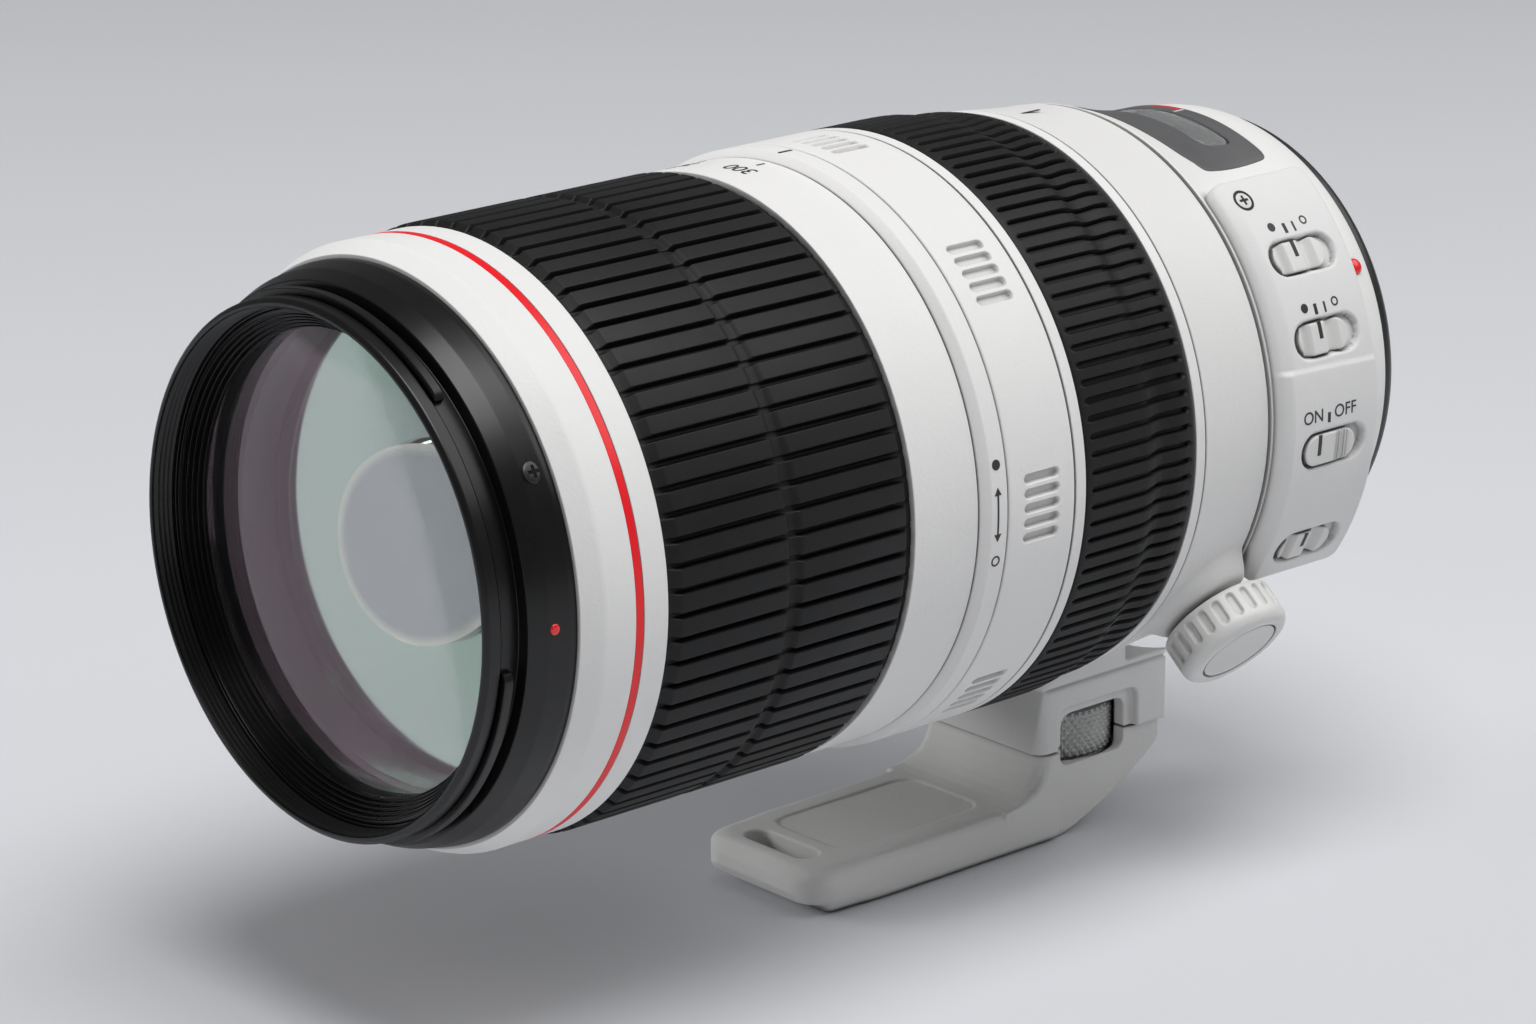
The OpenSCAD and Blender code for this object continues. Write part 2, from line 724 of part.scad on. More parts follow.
module panel_screw() color([0.75, 0.74, 0.72]) on_axis() difference() {
    radial_pin(panel_screw_angle, s_panel_screw, panel_screw_r, panel_face - panel_screw_t, panel_face);
    radial(panel_screw_angle, s_panel_screw) translate([0, 0, panel_face]) cross_recess(panel_screw_r);
}

// A screwdriver's cross in a head of radius r
module cross_recess(r) {
    cube([1.2 * r, cross_w, cross_depth], center = true);
    cube([cross_w, 1.2 * r, cross_depth], center = true);
}

slider_lift = 0.1;
slider_t = switch_slot_depth - 2 * slider_lift;
slider_w = switch_slot_w - 2 * slide_gap;
slider_valley = 0.45;
slider_run = switch_slot_len - slider_len - 2 * slide_gap;
ridge_pitch = 0.8;
ridge_depth = 0.5;

// Side outline of a switch knob with two finger valleys and a ridge between them
slider_outline = concat([[slider_len / 2, 0], [-slider_len / 2, 0]],
    [for (i = [0 : 24]) [(i / 24 - 0.5) * slider_len, slider_t - slider_valley * (1 - cos(30 * i)) / 2]]);

// A switch knob at the front end of its slot
module slider(angle) color([0.84, 0.84, 0.83]) on_axis()
    radial(angle, s_switch + slider_run / 2) translate([0, 0, switch_floor + slider_lift]) children();

module valley_slider(angle) slider(angle) intersection() {
    linear_extrude(slider_t) oblong(slider_len, slider_w);
    rotate([90, 0, 0]) linear_extrude(slider_w + 1, center = true) polygon(slider_outline);
}

module ridged_slider(angle) slider(angle) difference() {
    linear_extrude(slider_t) oblong(slider_len, slider_w);
    for (x = [ridge_pitch : ridge_pitch : slider_len / 2 - ridge_pitch]) translate([x, 0, slider_t])
        cube([ridge_pitch / 2, slider_w + 1, ridge_depth], center = true);
}

module focus_limit_switch() { valley_slider(focus_limit_angle); }
module focus_mode_switch() { valley_slider(focus_mode_angle); }
module stabilizer_switch() { ridged_slider(stabilizer_angle); }
module stabilizer_mode_switch() { valley_slider(stabilizer_mode_angle); }

/* Inside of the rear */

board_t = 1.6;
cell_tube_r = 24.5;
cell_tube_wall = 2;
cell_tube_bore = cell_tube_r - cell_tube_wall;
cell_lip = 2.5;
board_gap = 2;
board_lap = 1.2;
board_out = spigot_r + board_lap;
board_notch_r = 2.5;
rear_seat_len = 4;
rear_seat_wall = 2;
s_rear_cell = s_trim_floor + 1;
rear_flange_t = 2;
rear_lip_t = 2;
rear_glass_t = 6;
rear_glass_bend = 90;
s_rear_glass = s_rear_cell + rear_lip_t + sag(rear_glass_bend, cell_tube_bore) + rear_glass_t + set_gap;

module circuit_board() color("darkgreen") on_axis() difference() {
    tube(cell_tube_r + board_gap, board_out, board_at, board_at + board_t);
    for (a = [30, 150, 270]) rotate([0, 0, a]) translate([board_out, 0, board_at - 1])
        cylinder(r = board_notch_r, h = board_t + 2, $fn = 32);
}

module rear_group_cell() color([0.13, 0.13, 0.13]) on_axis()
    turned([[cell_tube_bore - cell_lip, s_rear_cell], [cell_tube_r, s_rear_cell],
            [cell_tube_r, s_guide - rear_flange_t], [guide_out, s_guide - rear_flange_t],
            [guide_out, s_guide], [guide_bore, s_guide], [guide_bore, s_guide + rear_seat_len],
            [guide_bore - rear_seat_wall, s_guide + rear_seat_len], [guide_bore - rear_seat_wall, s_guide],
            [cell_tube_bore, s_guide], [cell_tube_bore, s_rear_cell + rear_lip_t],
            [cell_tube_bore - cell_lip, s_rear_cell + rear_lip_t / 2]]);

module rear_elements() color([0.7, 0.8, 0.82, 0.6]) on_axis() {
    glass(cell_tube_bore, s_rear_glass, rear_glass_t, 60, -rear_glass_bend);
    glass(cell_tube_bore, s_guide - 2, 8, 70, 120);
}

s_motor = s_guide - rear_flange_t;
stator_t = 4;
rotor_t = 5;
stator_teeth = 24;
tooth_gap = 0.8;
s_rotor = s_motor - stator_t - run_gap - rotor_t;

module motor_stator() color("goldenrod") on_axis() difference() {
    tube(cell_tube_r, motor_r, s_motor - stator_t, s_motor);
    for (i = [0 : stator_teeth - 1])
        rotate([0, 0, i * 360 / stator_teeth]) translate([motor_r - 2, 0, s_motor - stator_t])
            cube([8, tooth_gap, stator_t / 2], center = true);
}

module motor_rotor() color("gray") on_axis()
    tube(cell_tube_r + run_gap, motor_r, s_rotor, s_rotor + rotor_t);

/* Main barrel and guide barrel */

roller_angles = [60, 180, 300];
front_angles = [90, 210, 330];
group_angles = [30, 150, 270];
roller_margin = 4;
roller_half = roller_r + slot_gap;

module main_barrel() color([0.8, 0.8, 0.79]) on_axis() difference() {
    turned([[neck_bore, s_spigot], [neck_out, s_spigot], [neck_out, s_shoulder], [barrel_out, s_shoulder],
            [barrel_out, s_zoom - half], [barrel_bore, s_zoom - half], [barrel_bore, s_guide_flange],
            [neck_bore, s_guide_flange]]);
    for (a = roller_angles)
        turned_part([[neck_bore - 1, s_roller - roller_half], [neck_out + 1, s_roller - roller_half],
                     [neck_out + 1, s_roller + roller_half], [neck_bore - 1, s_roller + roller_half]],
                    a - drum_turn - roller_margin, a + drum_turn + roller_margin);
}

module guide_barrel() color([0.55, 0.55, 0.57]) on_axis() difference() {
    union() {
        tube(guide_bore, guide_out, s_guide, s_guide_end);
        tube(guide_out - 0.5, barrel_bore, s_guide_flange, s_guide_flange + barrel_flange_t);
    }
    for (a = front_angles)
        straight_slot(a, s_follower, front_travel, follower_r);
    for (a = group_angles) {
        straight_slot(a, s_zoom_follower, zoom_group_travel, follower_r);
        straight_slot(a, s_focus_pin - focus_travel, 2 * focus_travel, focus_pin_r);
    }
}

// A straight slot through the guide barrel for a pin that travels forward from a station
module straight_slot(angle, from, travel, r) {
    width = 2 * (r + slot_gap);
    radial_slot(angle, from + travel / 2, travel + width, width, guide_bore - 2, guide_out + 0.4);
}

/* Focus drive */

drum_rim = 1.4;
s_drum_end = s_roller + roller_r + drum_rim;
scale_inset = 1.2;
scale_slope_len = 4;
s_slope_end = s_spigot - scale_inset;
s_slope = s_slope_end - scale_slope_len;

module distance_drum() color([0.15, 0.15, 0.16]) on_axis() difference() {
    turned([[scale_bore, s_drum], [scale_out, s_drum], [scale_out, s_slope], [drum_out, s_slope_end],
            [drum_out, s_drum_end], [drum_bore, s_drum_end], [drum_bore, s_slope_end],
            [scale_bore, s_slope]]);
    for (a = group_angles)
        helical_slot(a + drum_turn, s_focus_pin - focus_travel, 2 * focus_travel, 2 * drum_turn,
                     focus_pin_r + slot_gap, drum_bore, drum_out);
    for (a = roller_angles) radial_pin(a, s_roller, roller_r / 2, drum_bore - 1, drum_out + 1);
}

module drive_rollers() color("silver") on_axis() for (a = roller_angles) {
    radial_pin(a, s_roller, roller_r / 2, drum_bore, drum_out);
    radial_pin(a, s_roller, roller_r, drum_out, neck_out);
}

pin_sink = 3;
focus_glass_t = 5;
focus_rear_bend = 150;

module focus_cell() color([0.16, 0.16, 0.17]) on_axis() difference() {
    tube(focus_glass_r, cell_r, s_focus_cell, s_focus_cell + focus_cell_t);
    for (a = group_angles) radial_pin(a, s_focus_pin, focus_pin_r, cell_r - pin_sink, cell_r + 1);
}

module focus_elements() color([0.7, 0.8, 0.82, 0.6]) on_axis()
    glass(focus_glass_r, s_focus_cell + focus_cell_t - focus_glass_sink, focus_glass_t, -focus_glass_bend,
          focus_rear_bend);

module focus_pins() color("silver") on_axis()
    for (a = group_angles) radial_pin(a, s_focus_pin, focus_pin_r, cell_r - pin_sink, drum_out - slide_gap);

/* Stabilizer and iris */

frame_r = guide_bore - 3;
stabilizer_glass_r = 18;
stabilizer_ring_r = stabilizer_glass_r + 3;
plate_t = 2;
stabilizer_wall = 1.5;
plate_bore = stabilizer_ring_r - 2;

// A drum with end plates, closed round the floating parts
module stabilizer_housing() color([0.14, 0.14, 0.15]) on_axis() {
    tube(guide_bore - stabilizer_wall, guide_bore, s_stabilizer, s_stabilizer + stabilizer_t);
    for (s = [s_stabilizer, s_stabilizer + stabilizer_t - plate_t])
        tube(plate_bore, guide_bore - stabilizer_wall / 2, s, s + plate_t);
}

frame_t = 2.4;
s_frame = s_stabilizer + plate_t + slide_gap;
s_cell = s_frame + frame_t + slide_gap;
cell_t = stabilizer_t - 2 * plate_t - frame_t - 3 * slide_gap;
frame_hole_r = 3;
cell_hole_r = 3.5;
hole_circle = frame_r - 6;

// The frame slides sideways on the rear plate
module stabilizer_frame() color([0.35, 0.35, 0.36]) on_axis() difference() {
    tube(stabilizer_ring_r, frame_r - stabilizer_play, s_frame, s_frame + frame_t);
    for (a = [45 : 90 : 315]) rotate([0, 0, a]) translate([hole_circle, 0, s_frame - 1])
        cylinder(r = frame_hole_r, h = frame_t + 2, $fn = 32);
}

// The cell slides up and down on the frame
module stabilizer_cell() color([0.2, 0.2, 0.21]) on_axis() difference() {
    tube(stabilizer_glass_r, frame_r - stabilizer_play, s_cell, s_cell + cell_t);
    for (a = [0 : 90 : 270]) rotate([0, 0, a]) translate([hole_circle, 0, s_cell - 1])
        cylinder(r = cell_hole_r, h = cell_t + 2, $fn = 32);
}

module stabilizer_element() color([0.7, 0.8, 0.82, 0.6]) on_axis()
    glass(stabilizer_glass_r, s_cell + cell_t - 0.2, cell_t - 0.4, 0, 160);

iris_bore = guide_bore - 9;
iris_wall = 0.7;
iris_plate_t = 0.9;
blades = 9;
blade_t = 0.2;
blade_pitch = (iris_t - 2 * iris_plate_t) / (blades + 0.4);
s_iris_front = s_iris + iris_t - iris_plate_t;
blade_span = 62;
pivot_circle = guide_bore - iris_wall - 1.2;
pivot_r = 0.45;
blade_out = pivot_circle - 0.8;
blade_in = iris_bore + 0.4;
blade_lift = 0.1;

module iris_housing() color([0.12, 0.12, 0.12]) on_axis() difference() {
    turned([[iris_bore, s_iris], [guide_bore, s_iris], [guide_bore, s_iris + iris_t],
            [iris_bore, s_iris + iris_t], [iris_bore, s_iris_front], [guide_bore - iris_wall, s_iris_front],
            [guide_bore - iris_wall, s_iris + iris_plate_t], [iris_bore, s_iris + iris_plate_t]]);
    for (i = [0 : blades - 1]) rotate([0, 0, i * 360 / blades]) translate([pivot_circle, 0, s_iris - 1])
        cylinder(r = pivot_r + pin_gap, h = iris_plate_t + 2, $fn = 24);
}

// The blades stand fully open, one above the other, each on its own pivot
module iris_blades() color([0.1, 0.1, 0.1]) on_axis() for (i = [0 : blades - 1]) {
    level = s_iris + iris_plate_t + blade_lift + i * blade_pitch;
    rotate([0, 0, i * 360 / blades]) {
        turned_part([[blade_in, level], [blade_out, level], [blade_out, level + blade_t],
                     [blade_in, level + blade_t]], -3, blade_span);
        translate([pivot_circle, 0, level]) cylinder(r = 1, h = blade_t, $fn = 24);
        translate([pivot_circle, 0, s_iris])
            cylinder(r = pivot_r, h = level - s_iris + blade_t, $fn = 24);
    }
}

/* Focus ring, tension ring, index ring */

focus_lip = 2.2;
step_gap = 0.5;
s_focus_step = s_shoulder - step_gap;

module focus_ring() color([0.9, 0.89, 0.87]) on_axis()
    turned([[collar_bore, s_focus + half], [collar_r, s_focus + half], [collar_r, s_focus + focus_lip],
            [focus_rear_r, s_focus + focus_lip], [focus_rear_r, s_focus_step - 1],
            [focus_front_r, s_focus_step], [focus_front_r, s_tension - focus_lip],
            [tension_r, s_tension - focus_lip], [tension_r, s_tension - half],
            [ring_bore, s_tension - half], [ring_bore, s_focus_step], [collar_bore, s_focus_step]]);

s_grip_end = s_tension - focus_lip;
s_grip_start = s_focus + focus_lip;
grip_run = s_grip_end - s_grip_start;

// Radius of the focus grip along its length: straight in front, a waist, then a low swell at the rear
grip_swell = 0.4;
grip_stops = [[0.03, focus_grip_rear_r], [0.14, focus_grip_rear_r + grip_swell], [0.3, focus_grip_rear_r],
              [0.46, focus_grip_r], [0.97, focus_grip_r]];

function grip_line(depth) = [for (p = grip_stops) [p[1] - depth, s_grip_start + p[0] * grip_run]];

grip_inner = [[focus_front_r, s_grip_end], [focus_front_r, s_focus_step], [focus_rear_r, s_focus_step - 1],
              [focus_rear_r, s_grip_start]];

module focus_grip() color([0.12, 0.12, 0.12]) on_axis() difference() {
    turned(concat([[focus_grip_rear_r - grip_bevel, s_grip_start]], grip_line(0),
                  [[focus_grip_r - grip_bevel, s_grip_end]], grip_inner));
    intersection() {
        turned(concat(grip_line(groove_depth), reversed(grip_line(-1))));
        for (i = [0 : focus_ribs - 1]) rotate([0, 0, i * 360 / focus_ribs])
            translate([collar_bore, -focus_groove_w / 2, s_grip_start])
                cube([tension_r, focus_groove_w, grip_run]);
    }
}

module tension_ring() color([0.9, 0.89, 0.87]) on_axis() difference() {
    tube(ring_bore, tension_r, s_tension + half, s_index - half);
    for (g = [0 : tension_groups - 1], i = [0 : tension_slots - 1])
        radial_slot(g * 360 / tension_groups + (i - (tension_slots - 1) / 2) * tension_slot_step,
                    (s_tension + s_index) / 2, tension_slot_len, tension_slot_w,
                    tension_r - tension_slot_depth, tension_r + 1);
}

index_bevel = 1.6;

module index_ring() color([0.9, 0.89, 0.87]) on_axis()
    turned([[barrel_out, s_index + half], [tension_r, s_index + half], [tension_r, s_zoom - index_bevel],
            [zoom_band_r, s_zoom - half], [barrel_out, s_zoom - half]]);

/* Zoom ring and cam barrel */

module zoom_ring() color([0.9, 0.89, 0.87]) on_axis()
    turned([[zoom_bore, s_skirt], [skirt_out, s_skirt], [skirt_out, s_zoom + half],
            [zoom_band_r, s_zoom + half], [zoom_band_r, s_zoom_grip], [zoom_base_r, s_zoom_grip],
            [zoom_base_r, s_front - half], [zoom_bore, s_front - half]]);

s_split = (s_zoom_grip + s_front) / 2;
s_zoom_end = s_front - half;
rib_end = 0.9;
groove_floor = zoom_r - groove_depth;
split_from = s_split - zoom_grip_split / 2;
split_to = s_split + zoom_grip_split / 2;
split_rise = 0.35;

// Two rows of ribs between low smooth rims, with a low band between the rows
module zoom_grip() color([0.12, 0.12, 0.12]) on_axis() difference() {
    turned([[zoom_base_r, s_zoom_grip], [groove_floor, s_zoom_grip], [groove_floor, s_zoom_grip + rib_end],
            [zoom_r, s_zoom_grip + rib_end + grip_bevel], [zoom_r, split_from - split_rise],
            [groove_floor + split_rise, split_from], [groove_floor + split_rise, split_to],
            [zoom_r, split_to + split_rise], [zoom_r, s_zoom_end - rib_end - grip_bevel],
            [groove_floor, s_zoom_end - rib_end], [groove_floor, s_zoom_end], [zoom_base_r, s_zoom_end]]);
    for (i = [0 : zoom_ribs - 1]) rotate([0, 0, (i + 0.5) * 360 / zoom_ribs]) {
        zoom_groove(s_zoom_grip + rib_end / 2, split_from + split_rise);
        zoom_groove(split_to - split_rise, s_zoom_end - rib_end / 2);
    }
}

module zoom_groove(from, to) {
    translate([groove_floor, -zoom_groove_w / 2, from]) cube([3, zoom_groove_w, to - from]);
}

cam_slot_r = follower_r + slot_gap;

module cam_barrel() color([0.5, 0.5, 0.52]) on_axis() difference() {
    union() {
        tube(cam_bore, cam_out, s_skirt, s_cam_end);
        tube(cam_out - 0.5, zoom_bore, s_skirt, s_skirt + cam_flange_t);
    }
    for (a = front_angles)
        helical_slot(a, s_follower, front_travel, zoom_turn, cam_slot_r, cam_bore, cam_out);
    for (a = group_angles)
        helical_slot(a, s_zoom_follower, zoom_group_travel, zoom_turn, cam_slot_r, cam_bore, cam_out);
}

zoom_glass_r = guide_bore - 8;
follower_sink = 4;

module zoom_cell() color([0.16, 0.16, 0.17]) on_axis() difference() {
    tube(zoom_glass_r, cell_r, s_zoom_cell, s_zoom_cell + zoom_cell_t);
    for (a = group_angles)
        radial_pin(a, s_zoom_follower, follower_r / 2, cell_r - follower_sink, cell_r + 1);
}

module zoom_elements() color([0.7, 0.8, 0.82, 0.6]) on_axis() {
    glass(zoom_glass_r, s_zoom_cell + zoom_cell_t - 2, 4, -110, -90);
    glass(zoom_glass_r, s_zoom_cell + 8, 5, 80, -200);
}

module zoom_followers() color("silver") on_axis() for (a = group_angles) {
    radial_pin(a, s_zoom_follower, follower_r / 2, cell_r - follower_sink, cell_r);
    radial_pin(a, s_zoom_follower, follower_r, cell_r, cam_out);
}

/* Front barrel */

hood_spigot_len = 2.6;
s_tube_end = s_hood - hood_spigot_len;
follower_top = sqrt(tube_bore * tube_bore - follower_r * follower_r);

module inner_barrel() color([0.72, 0.72, 0.72]) on_axis() difference() {
    tube(tube_bore, tube_out, s_tube, s_tube_end);
    for (a = front_angles) radial_pin(a, s_follower, follower_r / 2, tube_bore - 1, tube_out + 1);
}

module barrel_followers() color("silver") on_axis() for (a = front_angles) {
    radial_pin(a, s_follower, follower_r, guide_bore + slide_gap, follower_top);
    radial_pin(a, s_follower, follower_r / 2, follower_top, tube_out - slide_gap);
}

glass_back = s_vertex - front_glass_t;
doublet_step = 2;
doublet_r = front_glass_r - doublet_step;
doublet_t = 5;
doublet_sink = 0.4;

module front_cell() color([0.1, 0.1, 0.1]) on_axis()
    turned([[doublet_r, s_front_cell], [tube_bore, s_front_cell], [tube_bore, s_front_seat],
            [front_glass_r, s_front_seat], [front_glass_r, glass_back], [doublet_r, glass_back]]);

module front_doublet() color([0.7, 0.8, 0.82, 0.6]) on_axis()
    glass(doublet_r, s_front_cell + doublet_t + doublet_sink, doublet_t, 140, -180);

module front_element() color([0.65, 0.75, 0.8, 0.6]) on_axis()
    glass(front_glass_r, s_vertex, front_glass_t, front_glass_bend, 0);

retainer_step = 0.6;
retainer_r = thread_r - retainer_step;
retainer_lip = front_glass_r - 1.4;
retainer_bore = front_glass_r + 2 * set_gap;
baffle_steps = 4;
baffle_top = 0.5;
s_lip = s_vertex - sag(front_glass_bend, retainer_lip) + set_gap;
s_baffle = s_thread - glass_sink;

// Steps of the retainer's baffle, from the thread down to the glass
function baffle() = [for (i = [0 : baffle_steps - 1], side = [0, 1])
    [retainer_r - baffle_top - (retainer_r - baffle_top - retainer_lip) * (i + side) / baffle_steps,
     s_baffle - (s_baffle - 0.6 - s_lip) * i / (baffle_steps - 1)]];

module front_retainer() color([0.08, 0.08, 0.08]) on_axis()
    turned(concat([[retainer_r, s_front_seat], [retainer_r, s_baffle]], baffle(),
                  [[retainer_lip, s_lip], [front_glass_r, s_lip], [retainer_bore, front_edge],
                   [retainer_bore, s_front_seat]]));

s_red = s_front + red_line_at;
red_depth = 1;
front_bevel_len = 3.4;
front_step = 0.5;
red_from = s_red - red_line_w / 2;
red_to = s_red + red_line_w / 2;

module front_ring() color([0.9, 0.89, 0.87]) on_axis()
    turned([[tube_out, s_front + half], [front_r, s_front + half], [front_r, red_from],
            [front_r - red_depth, red_from], [front_r - red_depth, red_to], [front_r, red_to],
            [front_r, s_hood - front_bevel_len], [hood_r + front_step, s_hood - half],
            [tube_out, s_hood - half]]);

module red_trim_ring() color("red") on_axis()
    tube(front_r - red_depth, front_r, red_from, red_to);

band_len = 4.4;
cone_len = 2.8;
s_cone = s_hood + band_len;
s_cone_end = s_cone + cone_len;
groove_wall = 0.9;
groove_r = thread_r + groove_wall;
tabs = 3;
tab_t = 1.6;
tab_angle = 62;
tab_start = 50;
tab_root = groove_r - 0.2;
s_tab = s_tip - 4.6;
rim_bevel = 0.6;
hood_screw_r = 1.7;
s_hood_screw = s_hood + band_len / 2 + 0.3;
hood_screw_top = hood_r - 0.25;
hood_screw_angles = [30, 150, 270];

module hood_ring() color([0.07, 0.07, 0.07]) on_axis() difference() {
    union() {
        turned([[tube_bore, s_tube_end], [tube_out, s_tube_end], [tube_out, s_hood - half],
                [hood_r, s_hood - half], [hood_r, s_hood + 1], [hood_r - 0.7, s_cone],
                [hood_tab_r + 0.6, s_cone_end], [groove_r, s_cone_end], [groove_r, s_tab + tab_t],
                [rim_r, s_tab + tab_t + 0.4], [rim_r, s_tip - rim_bevel], [rim_r - rim_bevel, s_tip],
                [thread_r + rim_bevel / 2, s_tip], [thread_r, s_tip - rim_bevel / 2], [thread_r, s_thread],
                [retainer_r + set_gap, s_thread], [retainer_r + set_gap, s_front_seat],
                [tube_bore, s_front_seat]]);
        for (i = [0 : tabs - 1]) rotate([0, 0, i * 360 / tabs + tab_start])
            turned_part([[tab_root, s_tab], [hood_tab_r, s_tab], [hood_tab_r, s_tab + tab_t],
                         [tab_root, s_tab + tab_t]], 0, tab_angle);
    }
    for (a = hood_screw_angles)
        radial_pin(a, s_hood_screw, hood_screw_r + pin_gap, tube_out, hood_r + 1);
}

module hood_ring_screws() color([0.12, 0.12, 0.12]) on_axis() for (a = hood_screw_angles) difference() {
    radial_pin(a, s_hood_screw, hood_screw_r, tube_out, hood_screw_top);
    radial(a, s_hood_screw) translate([0, 0, hood_screw_top]) cross_recess(hood_screw_r);
}

/* Tripod collar and foot */

block_from = s_collar - block_behind;
block_to = s_focus + block_ahead;
wheel_set = 14.3;
sweep_gap = 0.6;
wheel_gap = 0.5;
wheel_headroom = 1.4;
s_wheel = block_from + wheel_set;
sweep_rear = panel_face + panel_step + sweep_gap;
sweep_front = focus_grip_rear_r + grip_swell + sweep_gap;
pocket_r = wheel_r + wheel_gap;
wheel_top = -(seam_drop - wheel_h / 2);
wheel_bottom = -(seam_drop + wheel_h / 2);
wheel_window_behind = 6;
wheel_window_ahead = 8.4;
wheel_window_corner = 2;
wheel_cover = 0.6;
scoop_margin = 1.8;
slit_w = 0.6;
slit_drop = collar_r + 2 * slit_w;
knob_set = 4;
s_knob = s_collar + knob_set;
knob_lift = 1.3;
knob_base = panel_face + panel_step + knob_lift;
boss_r = knob_r - 1.9;
boss_flare = 4;
boss_gap = 0.3;
boss_h = knob_base - boss_gap - collar_bore;
skin = 0.5;
wheel_screw_wall = 1.5;
wheel_screw_up = saddle_h - wheel_h / 2 - wheel_screw_wall - slide_gap;

// Side outline of the saddle block, station across and height up, seen from the switch side
block_outline = [[block_from, -collar_bore], [block_from, -seam_drop + half], [block_to, -seam_drop + half],
                 [block_to - 1, -slit_drop], [block_to, -slit_drop + 1], [block_to, -collar_bore + 4],
                 [block_from, -collar_bore + 4]];

// Extrudes an outline of stations and heights across X
module across(width) {
    translate([width / 2, 0, 0]) rotate([0, -90, 0]) linear_extrude(width) children();
}

// The round pocket of the thumb wheel, between two heights
module wheel_pocket(from, to) {
    translate([0, from, s_wheel]) rotate([-90, 0, 0]) cylinder(r = pocket_r, h = to - from, $fn = 64);
}

// Side outline of the wheel's window, set out by a margin
function wheel_window(margin) = rounded(rectangle(
    [s_wheel - wheel_window_behind - margin, wheel_bottom + wheel_cover - margin],
    [s_wheel + wheel_window_ahead + margin, wheel_top + wheel_headroom + margin]), wheel_window_corner);

module tripod_collar() color([0.86, 0.85, 0.83]) on_axis() difference() {
    union() {
        turned([[collar_bore, s_collar + half], [collar_r - collar_taper, s_collar + half],
                [collar_r, s_focus - half], [collar_bore, s_focus - half]]);
        difference() {
            across(block_w) polygon(block_outline);
            translate([0, 0, block_from - 1])
                cylinder(r = sweep_rear, h = block_behind + 1 + half, $fn = 180);
            translate([0, 0, s_focus - half]) cylinder(r = sweep_front, h = block_ahead + 1, $fn = 180);
            translate([0, 0, s_collar]) cylinder(r = collar_bore + skin, h = collar_len, $fn = 180);
        }
        intersection() {
            radial(-knob_angle, s_knob) translate([0, 0, collar_bore]) rotate_extrude($fn = 96)
                polygon(concat(
                    arc(boss_r + boss_flare, boss_h - skin, boss_flare, boss_h - skin, 270, 180, 6),
                    [[boss_r, boss_h], [0, boss_h], [0, 0]]));
            tube(collar_bore + skin, knob_base + knob_h, s_collar + half, s_focus - half);
        }
    }
    wheel_pocket(-seam_drop - 1, wheel_top + wheel_headroom);
    across(2 * arm_w) polygon(wheel_window(0));
    for (side = [-1, 1]) translate([side * (stem_w + arm_w) / 2, 0, 0])
        across(arm_w) polygon(wheel_window(scoop_margin));
    translate([0, -seam_drop, s_wheel]) rotate([-90, 0, 0])
        cylinder(r = wheel_screw_r + pin_gap, h = saddle_h - wheel_screw_wall, $fn = 48);
    radial_pin(-knob_angle, s_knob, lock_screw_r + pin_gap, collar_bore - 2, knob_base + 2);
    for (side = [-1, 1]) translate([side * block_w / 2, -slit_drop, (block_from + block_to) / 2])
        cube([2 * slit_w, slit_w, block_to - block_from + 2], center = true);
}

module lock_screw() color("silver") on_axis()
    radial_pin(-knob_angle, s_knob, lock_screw_r, collar_bore + pin_gap, knob_base + knob_h / 2);

knob_slots = 22;
knob_slot_w = 1.3;
knob_slot_depth = 0.6;
knob_rim = 3;
knob_bevel = 0.6;
knob_round = 2;
cap_r = knob_r - knob_rim;
cap_t = 0.9;
cap_sink = 0.2;

module lock_knob() color([0.88, 0.87, 0.85]) on_axis() radial(-knob_angle, s_knob)
    translate([0, 0, knob_base]) difference() {
        rotate_extrude($fn = 96) polygon(concat(
            [[0, 0], [knob_r - knob_bevel, 0], [knob_r, knob_bevel], [knob_r, knob_h - knob_rim]],
            arc(knob_r - knob_round, knob_h - knob_round, knob_round - 0.2, knob_round, 0, 90, 5),
            [[0, knob_h]]));
        translate([0, 0, knob_h - cap_t]) cylinder(r = cap_r + set_gap, h = 2, $fn = 64);
        translate([0, 0, -1]) cylinder(r = lock_screw_r, h = 1 + knob_h / 2, $fn = 48);
        for (i = [0 : knob_slots - 1]) rotate([0, 0, i * 360 / knob_slots])
            translate([knob_r - knob_slot_depth, 0, (knob_h - knob_bevel) / 2]) rotate([0, 90, 0])
                linear_extrude(2) oblong(knob_h - knob_rim - knob_bevel, knob_slot_w);
    }

module lock_knob_cap() color([0.8, 0.79, 0.77]) on_axis() radial(-knob_angle, s_knob)
    translate([0, 0, knob_base + knob_h - cap_t]) cylinder(r = cap_r, h = cap_t - cap_sink, $fn = 64);

arm_top = -(foot_drop - arm_t);
foot_front = block_to + arm_len;
foot_seat = -seam_drop - half;
fillet_r = -arm_top + foot_seat;
heel_drop = 4.4;
heel_back = 0.7;
heel_len = 22.6;
heel_bow = 1.1;
arm_edge = 2.4;
inset_half = 9;
inset_corner = 4;
inset_depth = 0.3;
inset_end = 5;
toe_len = 5;
toe_up = 1.5;
strap_inset = 6;
strap_at = foot_front - strap_inset;
tripod_set = 4;
s_tripod = (block_to + foot_front) / 2 - tripod_set;
stem_overlap = 5;
stem_from = block_to - stem_overlap;
corner_r = 6;
arm_round = 1.5;
screw_seat = 2.8;
wheel_bevel = 0.6;

